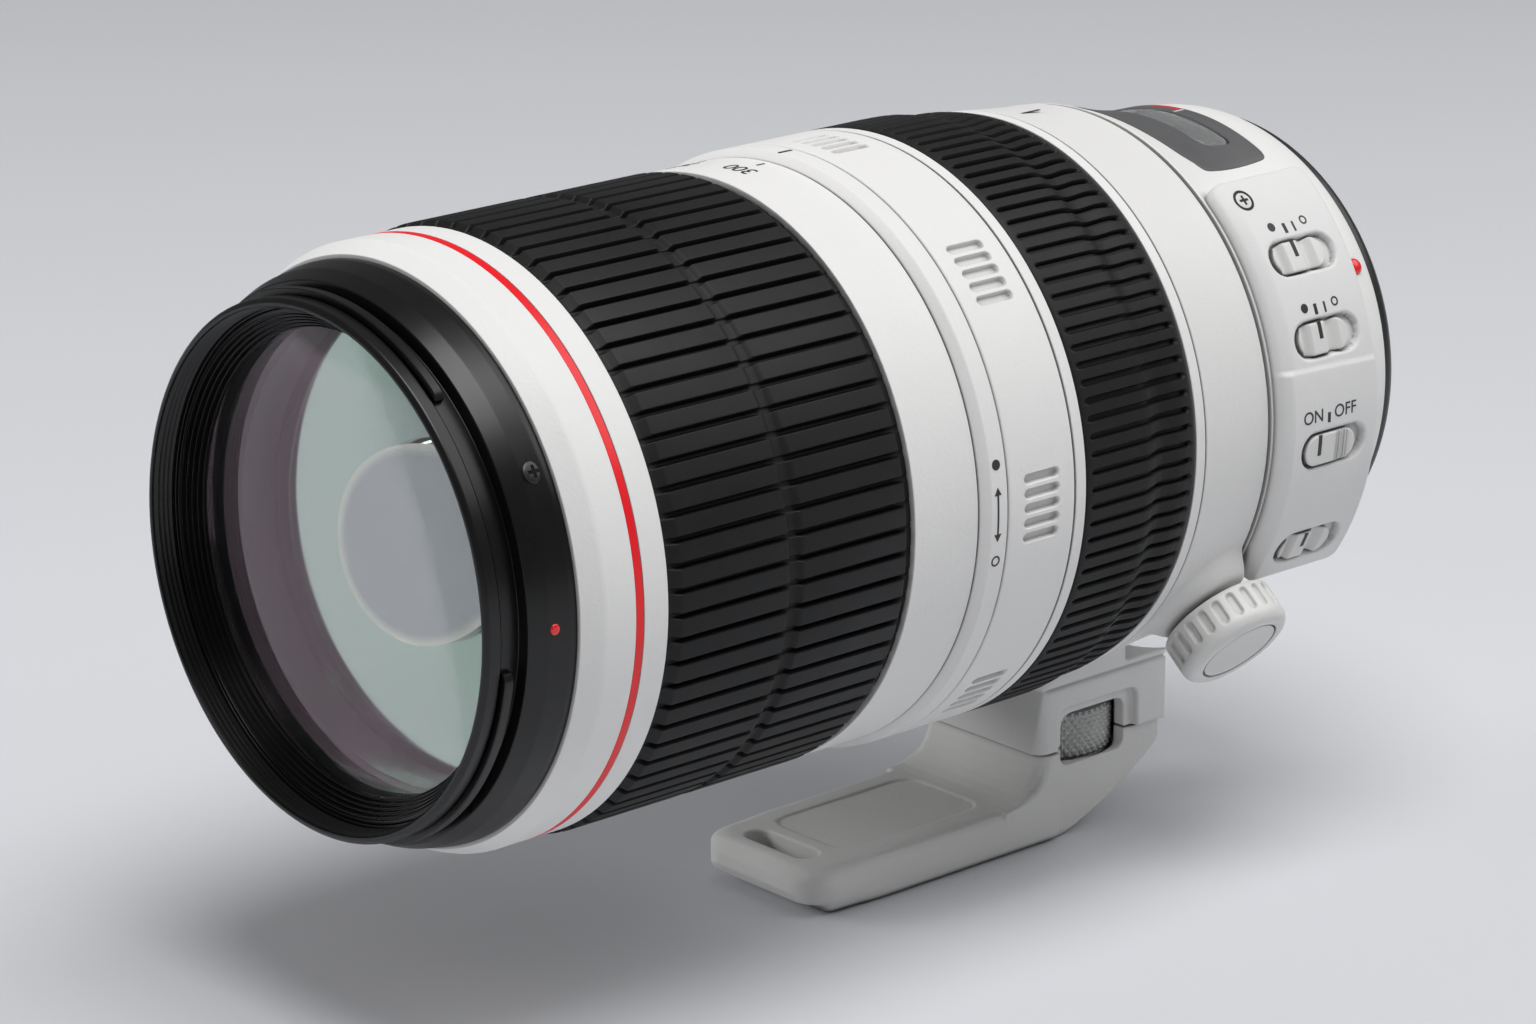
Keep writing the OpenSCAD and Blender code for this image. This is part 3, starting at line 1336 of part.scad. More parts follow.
// Side outline of the foot: a slanted heel at the rear, a hollow curve from the stem to the arm
foot_outline = concat([[block_from, foot_seat], [block_from, -seam_drop - heel_drop + 2 * heel_back]],
    bowed([block_from + heel_back, -seam_drop - heel_drop], [block_from + heel_len, -foot_drop],
          heel_bow, 6),
    [[foot_front - toe_len, -foot_drop], [foot_front - toe_len + 1, -foot_drop + toe_up],
     [foot_front - 1, -foot_drop + toe_up], [foot_front, -foot_drop + toe_up + arm_round],
     [foot_front, arm_top - arm_round], [foot_front - arm_round, arm_top]],
    arc(block_to + fillet_r - 1, foot_seat, fillet_r, fillet_r, 270, 180, 6));

s_arm = block_to + fillet_r;

// Front outlines of the foot: the arm has soft edges above and below, the stem only below
arm_section = rounded(rectangle([-arm_w / 2, -foot_drop], [arm_w / 2, arm_top]), arm_edge);
stem_section = concat([[arm_w / 2, foot_seat + 1], [-arm_w / 2, foot_seat + 1]],
    corner([-arm_w / 2, foot_seat], [-arm_w / 2, -foot_drop], [arm_w / 2, -foot_drop], arm_edge),
    corner([-arm_w / 2, -foot_drop], [arm_w / 2, -foot_drop], [arm_w / 2, foot_seat], arm_edge));

// Plan of the foot: the narrow stem behind, the wide arm with round corners in front
module foot_plan() {
    translate([-stem_w / 2, block_from]) square([stem_w, block_to - block_from]);
    translate([-arm_w / 2, stem_from]) square([arm_w, foot_front - corner_r - stem_from]);
    translate([-arm_w / 2 + corner_r, stem_from]) square([arm_w - 2 * corner_r, foot_front - stem_from]);
    for (side = [-1, 1]) translate([side * (arm_w / 2 - corner_r), foot_front - corner_r]) circle(corner_r);
}

// Upright shapes are drawn in plan, with X across and Y along the axis
module upright(from, to) {
    translate([0, from, 0]) mirror([0, 1, 0]) rotate([90, 0, 0]) linear_extrude(to - from) children();
}

module tripod_foot() color([0.82, 0.81, 0.79]) on_axis() difference() {
    intersection() {
        across(arm_w) polygon(foot_outline);
        upright(-foot_drop - 1, foot_seat + 1) foot_plan();
        union() {
            translate([0, 0, block_from - 1]) linear_extrude(s_arm - block_from + 1) polygon(stem_section);
            translate([0, 0, s_arm - 1]) linear_extrude(foot_front - s_arm + 2) polygon(arm_section);
        }
    }
    upright(arm_top - inset_depth, arm_top + 1) polygon(rounded(rectangle(
        [-inset_half, s_arm], [inset_half, strap_at - inset_end]), inset_corner));
    wheel_pocket(wheel_bottom - wheel_gap, -seam_drop + 2);
    across(2 * arm_w) polygon(wheel_window(0));
    translate([0, wheel_bottom - screw_seat - slide_gap, s_wheel]) rotate([-90, 0, 0])
        cylinder(r = wheel_screw_r + pin_gap, h = screw_seat + 1, $fn = 48);
    upright(-foot_drop - 1, arm_top + 1) translate([0, strap_at]) oblong(strap_slot_w, strap_slot_len);
    translate([0, -foot_drop - 1, s_tripod]) rotate([-90, 0, 0])
        cylinder(r = tripod_r, h = tripod_depth + 1, $fn = 64);
}

module thumb_wheel() color([0.55, 0.55, 0.56]) on_axis() translate([0, 0, s_wheel]) rotate([-90, 0, 0]) {
    translate([0, 0, wheel_bottom]) rotate_extrude($fn = 96)
        polygon([[0, 0], [wheel_r - wheel_bevel, 0], [wheel_r, wheel_bevel],
                 [wheel_r, wheel_h - wheel_bevel],
                 [wheel_r - wheel_bevel, wheel_h], [0, wheel_h]]);
    translate([0, 0, wheel_bottom - screw_seat])
        cylinder(r = wheel_screw_r, h = wheel_h + screw_seat + wheel_screw_up, $fn = 48);
}

bayonet_mount();
mount_screws();
mount_gasket();
contact_block();
contact_pins();
rear_trim_ring();
mount_index_bead();
rear_housing();
window_bezel();
window_pane();
switch_panel();
panel_screw();
focus_limit_switch();
focus_mode_switch();
stabilizer_switch();
stabilizer_mode_switch();
circuit_board();
rear_group_cell();
rear_elements();
motor_stator();
motor_rotor();
main_barrel();
guide_barrel();
distance_drum();
drive_rollers();
focus_cell();
focus_elements();
focus_pins();
stabilizer_housing();
stabilizer_frame();
stabilizer_cell();
stabilizer_element();
iris_housing();
iris_blades();
focus_ring();
focus_grip();
tension_ring();
index_ring();
zoom_ring();
zoom_grip();
cam_barrel();
zoom_cell();
zoom_elements();
zoom_followers();
inner_barrel();
barrel_followers();
front_cell();
front_doublet();
front_element();
front_retainer();
front_ring();
red_trim_ring();
hood_ring();
hood_ring_screws();
tripod_collar();
lock_screw();
lock_knob();
lock_knob_cap();
tripod_foot();
thumb_wheel();
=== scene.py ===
from math import cos, radians, sin, sqrt

import bmesh
import bpy
import numpy as np
from mathutils import Matrix, Vector


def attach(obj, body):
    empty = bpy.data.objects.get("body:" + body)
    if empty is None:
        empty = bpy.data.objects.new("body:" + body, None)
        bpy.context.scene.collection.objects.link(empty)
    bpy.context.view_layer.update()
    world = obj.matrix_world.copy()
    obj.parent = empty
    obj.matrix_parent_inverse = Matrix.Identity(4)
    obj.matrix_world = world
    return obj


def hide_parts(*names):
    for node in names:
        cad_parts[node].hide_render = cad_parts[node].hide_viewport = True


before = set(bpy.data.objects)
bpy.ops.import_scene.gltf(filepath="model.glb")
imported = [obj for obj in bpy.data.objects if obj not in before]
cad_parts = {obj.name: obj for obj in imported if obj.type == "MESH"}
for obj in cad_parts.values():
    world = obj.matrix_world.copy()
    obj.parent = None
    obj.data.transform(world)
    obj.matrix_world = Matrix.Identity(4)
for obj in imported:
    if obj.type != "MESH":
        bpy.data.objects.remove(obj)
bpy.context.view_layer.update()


# Inner barrels: turned and slotted aluminium tubes that carry each other, one inside the next.
# They are anodised, and closed in by the outer rings until the front barrel is drawn out.

def node(tree, kind, inputs=(), **settings):
    """A node; each input is a value, a socket, or a node that gives its first output."""
    made = tree.nodes.new("ShaderNode" + kind)
    for key, value in settings.items():
        setattr(made, key, value)
    for key, value in dict(inputs).items():
        if isinstance(value, bpy.types.Node):
            value = value.outputs[0]
        if isinstance(value, bpy.types.NodeSocket):
            tree.links.new(value, made.inputs[key])
        else:
            made.inputs[key].default_value = value
    return made


def new_group(name, numbers, outputs):
    group = bpy.data.node_groups.new(name, "ShaderNodeTree")
    for label, start in numbers.items():
        socket = group.interface.new_socket(label, in_out="INPUT", socket_type="NodeSocketFloat")
        socket.default_value = start
    for label in outputs:
        group.interface.new_socket(label, in_out="OUTPUT", socket_type="NodeSocketFloat")
    return group, group.nodes.new("NodeGroupInput"), group.nodes.new("NodeGroupOutput")


# Grain of paint, plastic and rubber, in grains per metre, with slow clouds over it
grain_group, into, out = new_group("fine_grain", {"Grain": 1400, "Clouds": 60}, ["Height", "Cloud"])
place = node(grain_group, "TexCoord").outputs["Object"]
grain = node(grain_group, "TexNoise",
             {"Vector": place, "Scale": into.outputs["Grain"], "Detail": 3.0, "Roughness": 0.6,
              "Distortion": 0.3})
cloud = node(grain_group, "TexNoise",
             {"Vector": place, "Scale": into.outputs["Clouds"], "Detail": 4.0, "Roughness": 0.65})
grain_group.links.new(grain.outputs["Fac"], out.inputs["Height"])
grain_group.links.new(cloud.outputs["Fac"], out.inputs["Cloud"])

# Fine rings that a lathe leaves round the optical axis
line_group, into, out = new_group("turned_lines", {"Lines": 4000}, ["Height"])
place = node(line_group, "SeparateXYZ",
             {"Vector": node(line_group, "TexCoord").outputs["Object"]})
flat = node(line_group, "CombineXYZ", {"X": place.outputs["X"], "Z": place.outputs["Z"]})
reach = node(line_group, "VectorMath", {0: flat}, operation="LENGTH")
along = node(line_group, "Math", {0: reach.outputs["Value"], 1: place.outputs["Y"]}, operation="ADD")
rings = node(line_group, "TexNoise",
             {"W": along, "Scale": into.outputs["Lines"], "Detail": 2.0}, noise_dimensions="1D")
line_group.links.new(rings.outputs["Fac"], out.inputs["Height"])

# Dust that settles on what faces up
dust_group, into, out = new_group("settled_dust", {"Amount": 0.2}, ["Mask"])
up = node(dust_group, "SeparateXYZ",
          {"Vector": node(dust_group, "NewGeometry").outputs["Normal"]})
specks = node(dust_group, "TexNoise",
              {"Vector": node(dust_group, "TexCoord").outputs["Object"], "Scale": 900.0, "Detail": 5.0})
level = node(dust_group, "MapRange", {"Value": up.outputs["Z"], "From Min": -0.2, "From Max": 1.0})
patchy = node(dust_group, "MapRange", {"Value": specks, "From Min": 0.35, "From Max": 0.75})
mask = node(dust_group, "Math", {0: level, 1: patchy}, operation="MULTIPLY")
scaled = node(dust_group, "Math", {0: mask, 1: into.outputs["Amount"]}, operation="MULTIPLY")
dust_group.links.new(scaled.outputs["Value"], out.inputs["Mask"])

# Painted shade: colour darkened where ambient occlusion finds narrow gaps and the foot of steps
gap_shade_group, into, out = new_group("gap_painted_shade", {"Amount": 0.5, "Reach": 0.0015}, ["Clean"])
open_share = node(gap_shade_group, "AmbientOcclusion", {"Distance": into.outputs["Reach"]}, samples=6)
hidden = node(gap_shade_group, "MapRange", {"Value": open_share.outputs["AO"], "From Min": 0.9, "From Max": 0.3})
held = node(gap_shade_group, "Math", {0: hidden, 1: into.outputs["Amount"]}, operation="MULTIPLY")
unshaded = node(gap_shade_group, "Math", {0: 1.0, 1: held}, operation="SUBTRACT")
gap_shade_group.links.new(unshaded.outputs["Value"], out.inputs["Clean"])


def blend(tree, share, one, two, kind="MIX"):
    """A mix of two colours by a share."""
    return node(tree, "Mix", {0: share, 6: one, 7: two}, data_type="RGBA", blend_type=kind).outputs[2]


def new_finish(name):
    made = bpy.data.materials.new(name)
    made.use_nodes = True
    return made, made.node_tree, made.node_tree.nodes["Principled BSDF"]


def surface(name, colour, shade, rough, grain=1400, depth=2e-5, clouds=60, lines=0, dust=0.0, painted_shade=0.0,
            **plain):
    """A finish whose colour drifts to a shade, with grain, turned lines, dust and painted gap shade from the
    groups.
    """
    made, tree, shader = new_finish(name)
    for label, value in plain.items():
        shader.inputs[label.replace("_", " ")].default_value = value
    grains = node(tree, "Group", {"Grain": grain, "Clouds": clouds}, node_tree=grain_group)
    drift = {"Value": grains.outputs["Cloud"], "From Min": 0.3, "From Max": 0.7}
    paint = blend(tree, node(tree, "MapRange", drift), (*colour, 1), (*shade, 1))
    if dust:
        powder = node(tree, "Group", {"Amount": dust}, node_tree=dust_group)
        dust_grey = (0.42, 0.41, 0.39, 1)
        paint = blend(tree, powder, paint, dust_grey)
    # Painted shade: the colour is darkened in narrow gaps and at the foot of steps.
    if painted_shade:
        gaps = node(tree, "Group", {"Amount": painted_shade}, node_tree=gap_shade_group)
        paint = blend(tree, 1.0, paint, gaps, "MULTIPLY")
    tree.links.new(paint, shader.inputs["Base Color"])
    wear = node(tree, "MapRange", {**drift, "To Min": rough * 0.88, "To Max": min(1, rough * 1.12)})
    tree.links.new(wear.outputs["Result"], shader.inputs["Roughness"])
    bump = node(tree, "Bump", {"Height": grains, "Strength": 1.0, "Distance": depth})
    if lines:
        turning = node(tree, "Group", {"Lines": lines}, node_tree=line_group)
        bump = node(tree, "Bump", {"Height": turning, "Distance": 6e-6, "Normal": bump})
    tree.links.new(bump.outputs["Normal"], shader.inputs["Normal"])
    return made


def dress(finish, *names):
    for name in names:
        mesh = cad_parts[name].data
        mesh.materials.clear()
        mesh.materials.append(finish)
        mesh.shade_smooth()
        mesh.set_sharp_from_angle(angle=radians(32))


anodised = surface("grey_anodised", (0.42, 0.42, 0.43), (0.36, 0.36, 0.37), 0.42, 2500, 4e-6, lines=5000,
                   Metallic=1.0)
dark_anodised = surface("dark_anodised", (0.02, 0.02, 0.021), (0.028, 0.028, 0.03), 0.45, 2500, 4e-6,
                        lines=5000)
dress(anodised, "guide_barrel", "cam_barrel")
dress(dark_anodised, "main_barrel", "inner_barrel")

# Lens cells, iris, stabilizer and motor: moulded black cells, steel pins, brass motor ring, green board.
# They are screwed into the barrels, and only their front edges show through the glass.

cell_black = surface("cell_black", (0.012, 0.012, 0.012), (0.018, 0.018, 0.019), 0.6, 2200, 1e-5)
bare_steel = surface("bare_steel", (0.56, 0.55, 0.53), (0.48, 0.47, 0.46), 0.3, 3000, 3e-6, lines=6000,
                     Metallic=1.0)
blade_steel = surface("blade_steel", (0.03, 0.03, 0.032), (0.045, 0.045, 0.047), 0.35, 3000, 3e-6,
                      Metallic=0.6)
motor_brass = surface("motor_brass", (0.62, 0.44, 0.18), (0.5, 0.35, 0.14), 0.36, 2600, 4e-6, lines=5000,
                      Metallic=1.0)
board_green = surface("board_green", (0.02, 0.11, 0.05), (0.03, 0.14, 0.065), 0.4, 1800, 8e-6,
                      Coat_Weight=0.4)
dress(cell_black, "focus_cell", "zoom_cell", "front_cell", "rear_group_cell", "stabilizer_housing",
      "iris_housing")
dress(dark_anodised, "stabilizer_cell", "stabilizer_frame")
dress(bare_steel, "focus_pins", "zoom_followers", "barrel_followers", "drive_rollers", "lock_screw",
      "motor_rotor")
dress(blade_steel, "iris_blades")
dress(motor_brass, "motor_stator")
dress(board_green, "circuit_board")


def coated(name, tint, ior, rough=0.01, mirror=0.0, clear=((0.93, 0.95, 0.95), (0.97, 0.98, 0.98)), haze=0.0,
           painted_reflection=None):
    """Polished glass with a coloured coat and faint smears; given a painted reflection, its colour goes from
    one colour to the other over a range of distance from a point.
    """
    made, tree, shader = new_finish(name)
    shader.inputs["Transmission Weight"].default_value = 1.0 - haze
    shader.inputs["Metallic"].default_value = mirror
    shader.inputs["IOR"].default_value = ior
    shader.inputs["Specular Tint"].default_value = (*tint, 1)
    smear = node(tree, "Group", {"Clouds": 45}, node_tree=grain_group)
    share = smear.outputs["Cloud"]
    gloss = node(tree, "MapRange", {"Value": share, "To Min": 0.0, "To Max": 2 * rough})
    tree.links.new(gloss.outputs["Result"], shader.inputs["Roughness"])
    # Painted reflection: the colour follows the distance from a point instead of the smears.
    if painted_reflection:
        point, low, high = painted_reflection
        place = node(tree, "TexCoord").outputs["Object"]
        away = node(tree, "VectorMath", {0: place, 1: point}, operation="DISTANCE").outputs["Value"]
        share = node(tree, "MapRange", {"Value": away, "From Min": low, "From Max": high},
                     interpolation_type="SMOOTHSTEP")
    tree.links.new(blend(tree, share, (*clear[0], 1), (*clear[1], 1)), shader.inputs["Base Color"])
    return made


inner_glass = coated("inner_glass", (0.75, 0.9, 1.0), 1.55)
dress(inner_glass, "focus_elements", "zoom_elements", "stabilizer_element", "rear_elements")

# Bayonet mount: turned and milled stainless steel, with three lugs, held by countersunk screws.
# Round it lie the rubber dust gasket and, in its throat, the contact block with gold pins.

mount_steel = surface("mount_steel", (0.6, 0.59, 0.57), (0.53, 0.52, 0.5), 0.26, 3000, 2e-6, lines=7000,
                      Metallic=1.0)
screw_steel = surface("screw_steel", (0.22, 0.22, 0.22), (0.17, 0.17, 0.17), 0.3, 3000, 3e-6, Metallic=1.0)
gasket_rubber = surface("gasket_rubber", (0.014, 0.014, 0.014), (0.02, 0.02, 0.02), 0.7, 2000, 1.5e-5,
                        dust=0.05)
black_plastic = surface("black_plastic", (0.011, 0.011, 0.012), (0.017, 0.017, 0.018), 0.42, 2000, 8e-6,
                        dust=0.03)
contact_gold = surface("contact_gold", (0.9, 0.66, 0.28), (0.8, 0.58, 0.24), 0.2, 3000, 2e-6, Metallic=1.0)
dress(mount_steel, "bayonet_mount")
dress(screw_steel, "mount_screws")
dress(gasket_rubber, "mount_gasket")
dress(black_plastic, "contact_block")
dress(contact_gold, "contact_pins")

# Rear trim ring: turned aluminium, black anodised, between the mount flange and the white housing.
# Its spigot carries the housing; a red moulded bead beside it marks where the lens meets the camera.

MM = 0.001


def soft_corner(a, p, b, count):
    """Points of a soft corner at p, from a to b."""
    return [(1 - t) ** 2 * a + 2 * t * (1 - t) * p + t * t * b for t in np.linspace(0, 1, count)]


def eased(outline, width):
    """A closed outline of stations and radii with every corner rounded over a width."""
    points = [np.array(p[:2], float) for p in outline]
    smooth = []
    for i, p in enumerate(points):
        reach = outline[i][2] if len(outline[i]) > 2 else width
        before, after = points[i - 1] - p, points[(i + 1) % len(points)] - p
        a = p + before * min(reach / np.linalg.norm(before), 0.45)
        b = p + after * min(reach / np.linalg.norm(after), 0.45)
        smooth += soft_corner(a, p, b, 5)
    return smooth


def around(angles, station, radius):
    """Points at stations and radii, at angles above the switch side."""
    a = np.radians(angles)
    return np.stack([radius * np.cos(a), np.full_like(a, -station), radius * np.sin(a)], -1)


def wrapped(rows, closed=True):
    """Faces over rows of points that close round; the rows also close on themselves, or end in caps."""
    count, n = len(rows), len(rows[0])
    i = np.arange(count if closed else count - 1)[:, None]
    j = np.arange(n)[None, :]
    up, on = (i + 1) % count, (j + 1) % n
    faces = np.stack([i * n + j, i * n + on, up * n + on, up * n + j], 2).reshape(-1, 4).tolist()
    if not closed:
        faces += [list(range(n)), list(range((count - 1) * n, count * n))]
    return np.concatenate(rows), faces


def linked(name, data):
    made = bpy.data.objects.new(name, data)
    bpy.context.scene.collection.objects.link(made)
    return made


def piece(name, body, slot, finish, shape, *replaced, sharp=35, even=True):
    points, faces = shape
    mesh = bpy.data.meshes.new(name)
    mesh.from_pydata((np.asarray(points) * MM).tolist(), [], faces)
    work = bmesh.new()
    work.from_mesh(mesh)
    bmesh.ops.recalc_face_normals(work, faces=work.faces)
    work.to_mesh(mesh)
    work.free()
    mesh.materials.append(finish)
    mesh.shade_smooth()
    mesh.set_sharp_from_angle(angle=radians(sharp))
    made = linked(name, mesh)
    if even:
        made.modifiers.new("even_shading", "WEIGHTED_NORMAL").keep_sharp = True
    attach(made, body)
    if replaced:
        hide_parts(*replaced)
    return made


def turned(outline, width=0.2, count=288):
    angles = np.arange(count) * 360 / count
    return wrapped([around(angles, s, r) for s, r in eased(outline, width)])


black_metal = surface("black_metal", (0.011, 0.011, 0.011), (0.017, 0.017, 0.017), 0.38, 2600, 5e-6,
                      lines=4500, dust=0.03)
piece("rear_trim", "lens_body", "black_metal", black_metal, turned(
    [(1.6, 32.6), (1.6, 34.7), (3.0, 36.6, 0.6), (4.4, 37.6, 0.6), (5.85, 37.6), (5.85, 35.2), (10, 35.2),
     (10, 32.2), (5, 32.2), (5, 27), (2.45, 27), (2.45, 32.6)]), "rear_trim_ring")
red_bead = surface("red_bead", (0.80, 0.014, 0.02), (0.74, 0.012, 0.016), 0.22, 1500, 4e-6, Coat_Weight=0.5)


def outward(angle):
    """The direction out from the optical axis at an angle, and the direction round it."""
    a = radians(angle)
    return np.array([cos(a), 0, sin(a)]), np.array([-sin(a), 0, cos(a)])


def ring_across(side, turns):
    """Unit steps round an axis that points outward."""
    return np.cos(turns)[:, None] * side + np.sin(turns)[:, None] * np.array([0, -1, 0])


def dome(angle, station, base, radius, height, count=48):
    """A round head whose axis points out from the optical axis, from a base radius up."""
    out, side = outward(angle)
    ring = ring_across(side, np.arange(count) * 2 * np.pi / count)
    sunk, hub = 0.6, 0.05
    centre = out * base + np.array([0, -station, 0])
    rows = [centre + ring * radius - out * sunk]
    for t in np.linspace(0, 1, 8):
        rows.append(centre + ring * max(radius * cos(t * 1.5), hub) + out * height * sin(t * 1.57))
    return wrapped(rows, closed=False)


piece("mount_bead", "lens_body", "red_plastic", red_bead, dome(29.6, 10.2, 39.3, 1.4, 0.75),
      "mount_index_bead")

# Rear housing: a moulded shell with a round shoulder and a waist, sprayed with wrinkle paint in warm white.
# It is screwed to the trim ring and the main barrel, and is open under the distance window.

# Painted shade darkens this finish in narrow gaps and at the foot of steps.
white_paint = surface("white_paint", (0.80, 0.794, 0.782), (0.775, 0.769, 0.757), 0.5, 1500, 6e-5, clouds=25,
                      painted_shade=0.6, Specular_IOR_Level=0.45)


def housing_at(s):
    return 39.75 + 4.35 * ((s - 15) / 24.275) ** 2


columns = 360
hole_from, hole_to, left, right = 16.8, 25.8, 66, 114
stations = [15.8, hole_from, 18, 20, 22, 24, hole_to, 27, 29, 31, 33, 35, 37.0, 37.14, 38.6, 39.0]
outer = [(15 - 9 * cos(t), 37.6 + 2.15 * sin(t)) for t in np.linspace(0.0, np.pi / 2, 20)]
outer += [(s, housing_at(s)) for s in stations]
outer += [(39.2, housing_at(39.0) - 0.05), (39.27, housing_at(39.0) - 0.3)]
inner = [(s, 42.4 if s > 37.1 else r - 2.4) for s, r in reversed(outer)]
points, faces = wrapped([around(np.arange(columns), s, r) for s, r in outer + inner])
first, last = outer.index((hole_from, housing_at(hole_from))), outer.index((hole_to, housing_at(hole_to)))
under = len(outer) + len(inner) - 1
kept = []
for k, face in enumerate(faces):
    row, column = divmod(k, columns)
    if not (left <= column < right and (first <= row < last or first <= under - 1 - row < last)):
        kept.append(face)
for row in range(first, last):
    top, low = row * columns, (under - row) * columns
    for column in (left, right):
        kept.append([top + column, top + columns + column, low - columns + column, low + column])
for row in (first, last):
    top, low = row * columns, (under - row) * columns
    for column in range(left, right):
        kept.append([top + column, top + column + 1, low + column + 1, low + column])
piece("housing_shell", "lens_body", "white_paint", white_paint, (points, kept), "rear_housing")

# Distance window: a dark moulded bezel let into the shell, a clear pane clipped into it,
# and below it the turning drum with its printed distance scale.

bezel_grey = surface("bezel_grey", (0.095, 0.095, 0.098), (0.115, 0.115, 0.118), 0.45, 1800, 1e-5)
drum_black = surface("drum_black", (0.016, 0.016, 0.017), (0.024, 0.024, 0.025), 0.5, 1800, 1e-5)
dress(drum_black, "distance_drum")


def corner(a, p, b, reach):
    a, p, b = (np.array(q, float) for q in (a, p, b))
    a, b = p + (a - p) * reach / np.linalg.norm(a - p), p + (b - p) * reach / np.linalg.norm(b - p)
    return soft_corner(a, p, b, 9)


def spread(outline, count=220, stretch=2.6, middle=21.3):
    """Points on an outline of (across, station), at even turns about its middle."""
    fine = []
    for p, q in zip(outline, outline[1:] + outline[:1]):
        fine += [np.array(p) + (np.array(q) - np.array(p)) * t for t in np.linspace(0, 1, 30)[:-1]]
    fine = np.array(fine)
    turn = np.arctan2((fine[:, 1] - middle) * stretch, fine[:, 0])
    order = np.argsort(turn)
    goal = np.linspace(-np.pi, np.pi, count, endpoint=False)
    across = np.interp(goal, turn[order], fine[order, 0], period=2 * np.pi)
    station = np.interp(goal, turn[order], fine[order, 1], period=2 * np.pi)
    return np.stack([across, station], 1)


def on_shell(plan, lift):
    """Plan points laid on the shell, lifted by a height."""
    reach = housing_at(plan[:, 1]) + lift
    return np.stack([plan[:, 0], -plan[:, 1], np.sqrt(reach ** 2 - plan[:, 0] ** 2)], 1)


def bezel_plan(inset):
    w, behind, rear, side = 20.97 - inset, 18.66 - inset, 14.3 + inset, 32.3 - 0.8 * inset
    bow = [(-k * w / 12, side + 4 * (1 - (k / 12) ** 2)) for k in range(-10, 11)]
    return spread(corner((-w, side), (-behind, rear), (behind, rear), 1.7)
                  + corner((-behind, rear), (behind, rear), (w, side), 1.7)
                  + corner((behind, rear), (w, side - 0.6), (0, side + 4), 1.7) + bow
                  + corner((0, side + 4), (-w, side - 0.6), (-behind, rear), 1.7))


def pane_plan(inset):
    w, rear, front = 14.0 - inset, 18.0 + inset, 24.6 - inset
    ring = [(-w, rear), (w, rear), (w, front), (-w, front)]
    soft = [corner(ring[k - 1], ring[k], ring[(k + 1) % 4], 1.9) for k in range(4)]
    return spread(sum(soft, []))


def between(one, two, lift, count=7):
    return [on_shell(one + (two - one) * t, lift) for t in np.linspace(0, 1, count)]


rows = [on_shell(bezel_plan(0), -0.7), on_shell(bezel_plan(0), 0.0), on_shell(bezel_plan(0.08), 0.13)]
rows += between(bezel_plan(0.3), pane_plan(-0.6), 0.2)
rows += [on_shell(pane_plan(-0.35), 0.15), on_shell(pane_plan(-0.22), 0.0), on_shell(pane_plan(-0.22), -1.0)]
rows += [on_shell(pane_plan(0.5), -1.0)] + between(pane_plan(0.5), bezel_plan(0.6), -1.7)
piece("window_bezel_ring", "lens_body", "dark_bezel", bezel_grey, wrapped(rows), "window_bezel")

pane_clear = coated("pane_clear", (0.9, 0.95, 1.0), 1.49, 0.08, haze=0.13)
edge, centre = pane_plan(0.0), np.array([[0.0, 21.3]])
shrink = [1, 0.97, 0.85, 0.65, 0.45, 0.25, 0.05]
rows = [on_shell(centre + (edge - centre) * t, -0.9) for t in reversed(shrink)]
rows += [on_shell(centre + (edge - centre) * t, -0.1 if t == 1 else -0.02) for t in shrink]
piece("window_glazing", "lens_body", "window_clear", pane_clear, wrapped(rows, closed=False), "window_pane")


ink = 0.05


def plate(top, under):
    """A closed skin over two like grids of points."""
    m, n = top.shape[:2]
    points = np.concatenate([top.reshape(-1, 3), under.reshape(-1, 3)])
    i, j = np.arange(m - 1)[:, None], np.arange(n - 1)[None, :]
    quad = np.stack([i * n + j, i * n + j + 1, (i + 1) * n + j + 1, (i + 1) * n + j], 2).reshape(-1, 4)
    faces = quad.tolist() + (quad[:, ::-1] + m * n).tolist()
    rim = [(0, b) for b in range(n)] + [(a, n - 1) for a in range(1, m)]
    rim += [(m - 1, b) for b in range(n - 2, -1, -1)] + [(a, 0) for a in range(m - 2, 0, -1)]
    for (a, b), (c, d) in zip(rim, rim[1:] + rim[:1]):
        faces.append([a * n + b, c * n + d, m * n + c * n + d, m * n + a * n + b])
    return points, faces


def layer(angles, stations, radius):
    """A thin printed patch over a range of angles and stations, raised by its own thickness."""
    base, raised = (np.array([around(angles, s, r) for s in stations]) for r in (radius, radius + ink))
    return plate(base, raised)


def bar(angle, station, wide, long, radius):
    """A printed line: its width round the axis and its length along it, both in millimetres."""
    half = np.degrees(wide / 2 / radius)
    angles = np.linspace(angle - half, angle + half, 3)
    return layer(angles, [station - long / 2, station + long / 2], radius)


def joined(shapes):
    points, faces, start = [], [], 0
    for p, f in shapes:
        points.append(np.asarray(p))
        faces += [[start + v for v in face] for face in f]
        start += len(p)
    return np.concatenate(points), faces


def final_mesh(made):
    """The mesh that an object's modifiers or curves come to."""
    return bpy.data.meshes.new_from_object(made.evaluated_get(bpy.context.evaluated_depsgraph_get()))


def lettering(text, size):
    """Outline points and faces of plain lettering, centred, in millimetres."""
    curve = bpy.data.curves.new("lettering", "FONT")
    curve.body = text
    curve.size = size
    curve.align_x = "CENTER"
    curve.align_y = "CENTER"
    curve.extrude = 0.02
    holder = linked("lettering", curve)
    mesh = final_mesh(holder)
    points = np.array([v.co for v in mesh.vertices])
    faces = [list(p.vertices) for p in mesh.polygons]
    bpy.data.objects.remove(holder)
    bpy.data.meshes.remove(mesh)
    return points, faces


def printed(text, size, angle, station, radius, sideways=False):
    """Lettering on a ring, read from behind the lens; sideways it is read from the switch side."""
    points, faces = lettering(text, size)
    x, y, z = points.T
    round_by, along = (y, -x) if sideways else (x, y)
    return around(angle + np.degrees(round_by / radius), station + along, radius + 0.03 + z), faces


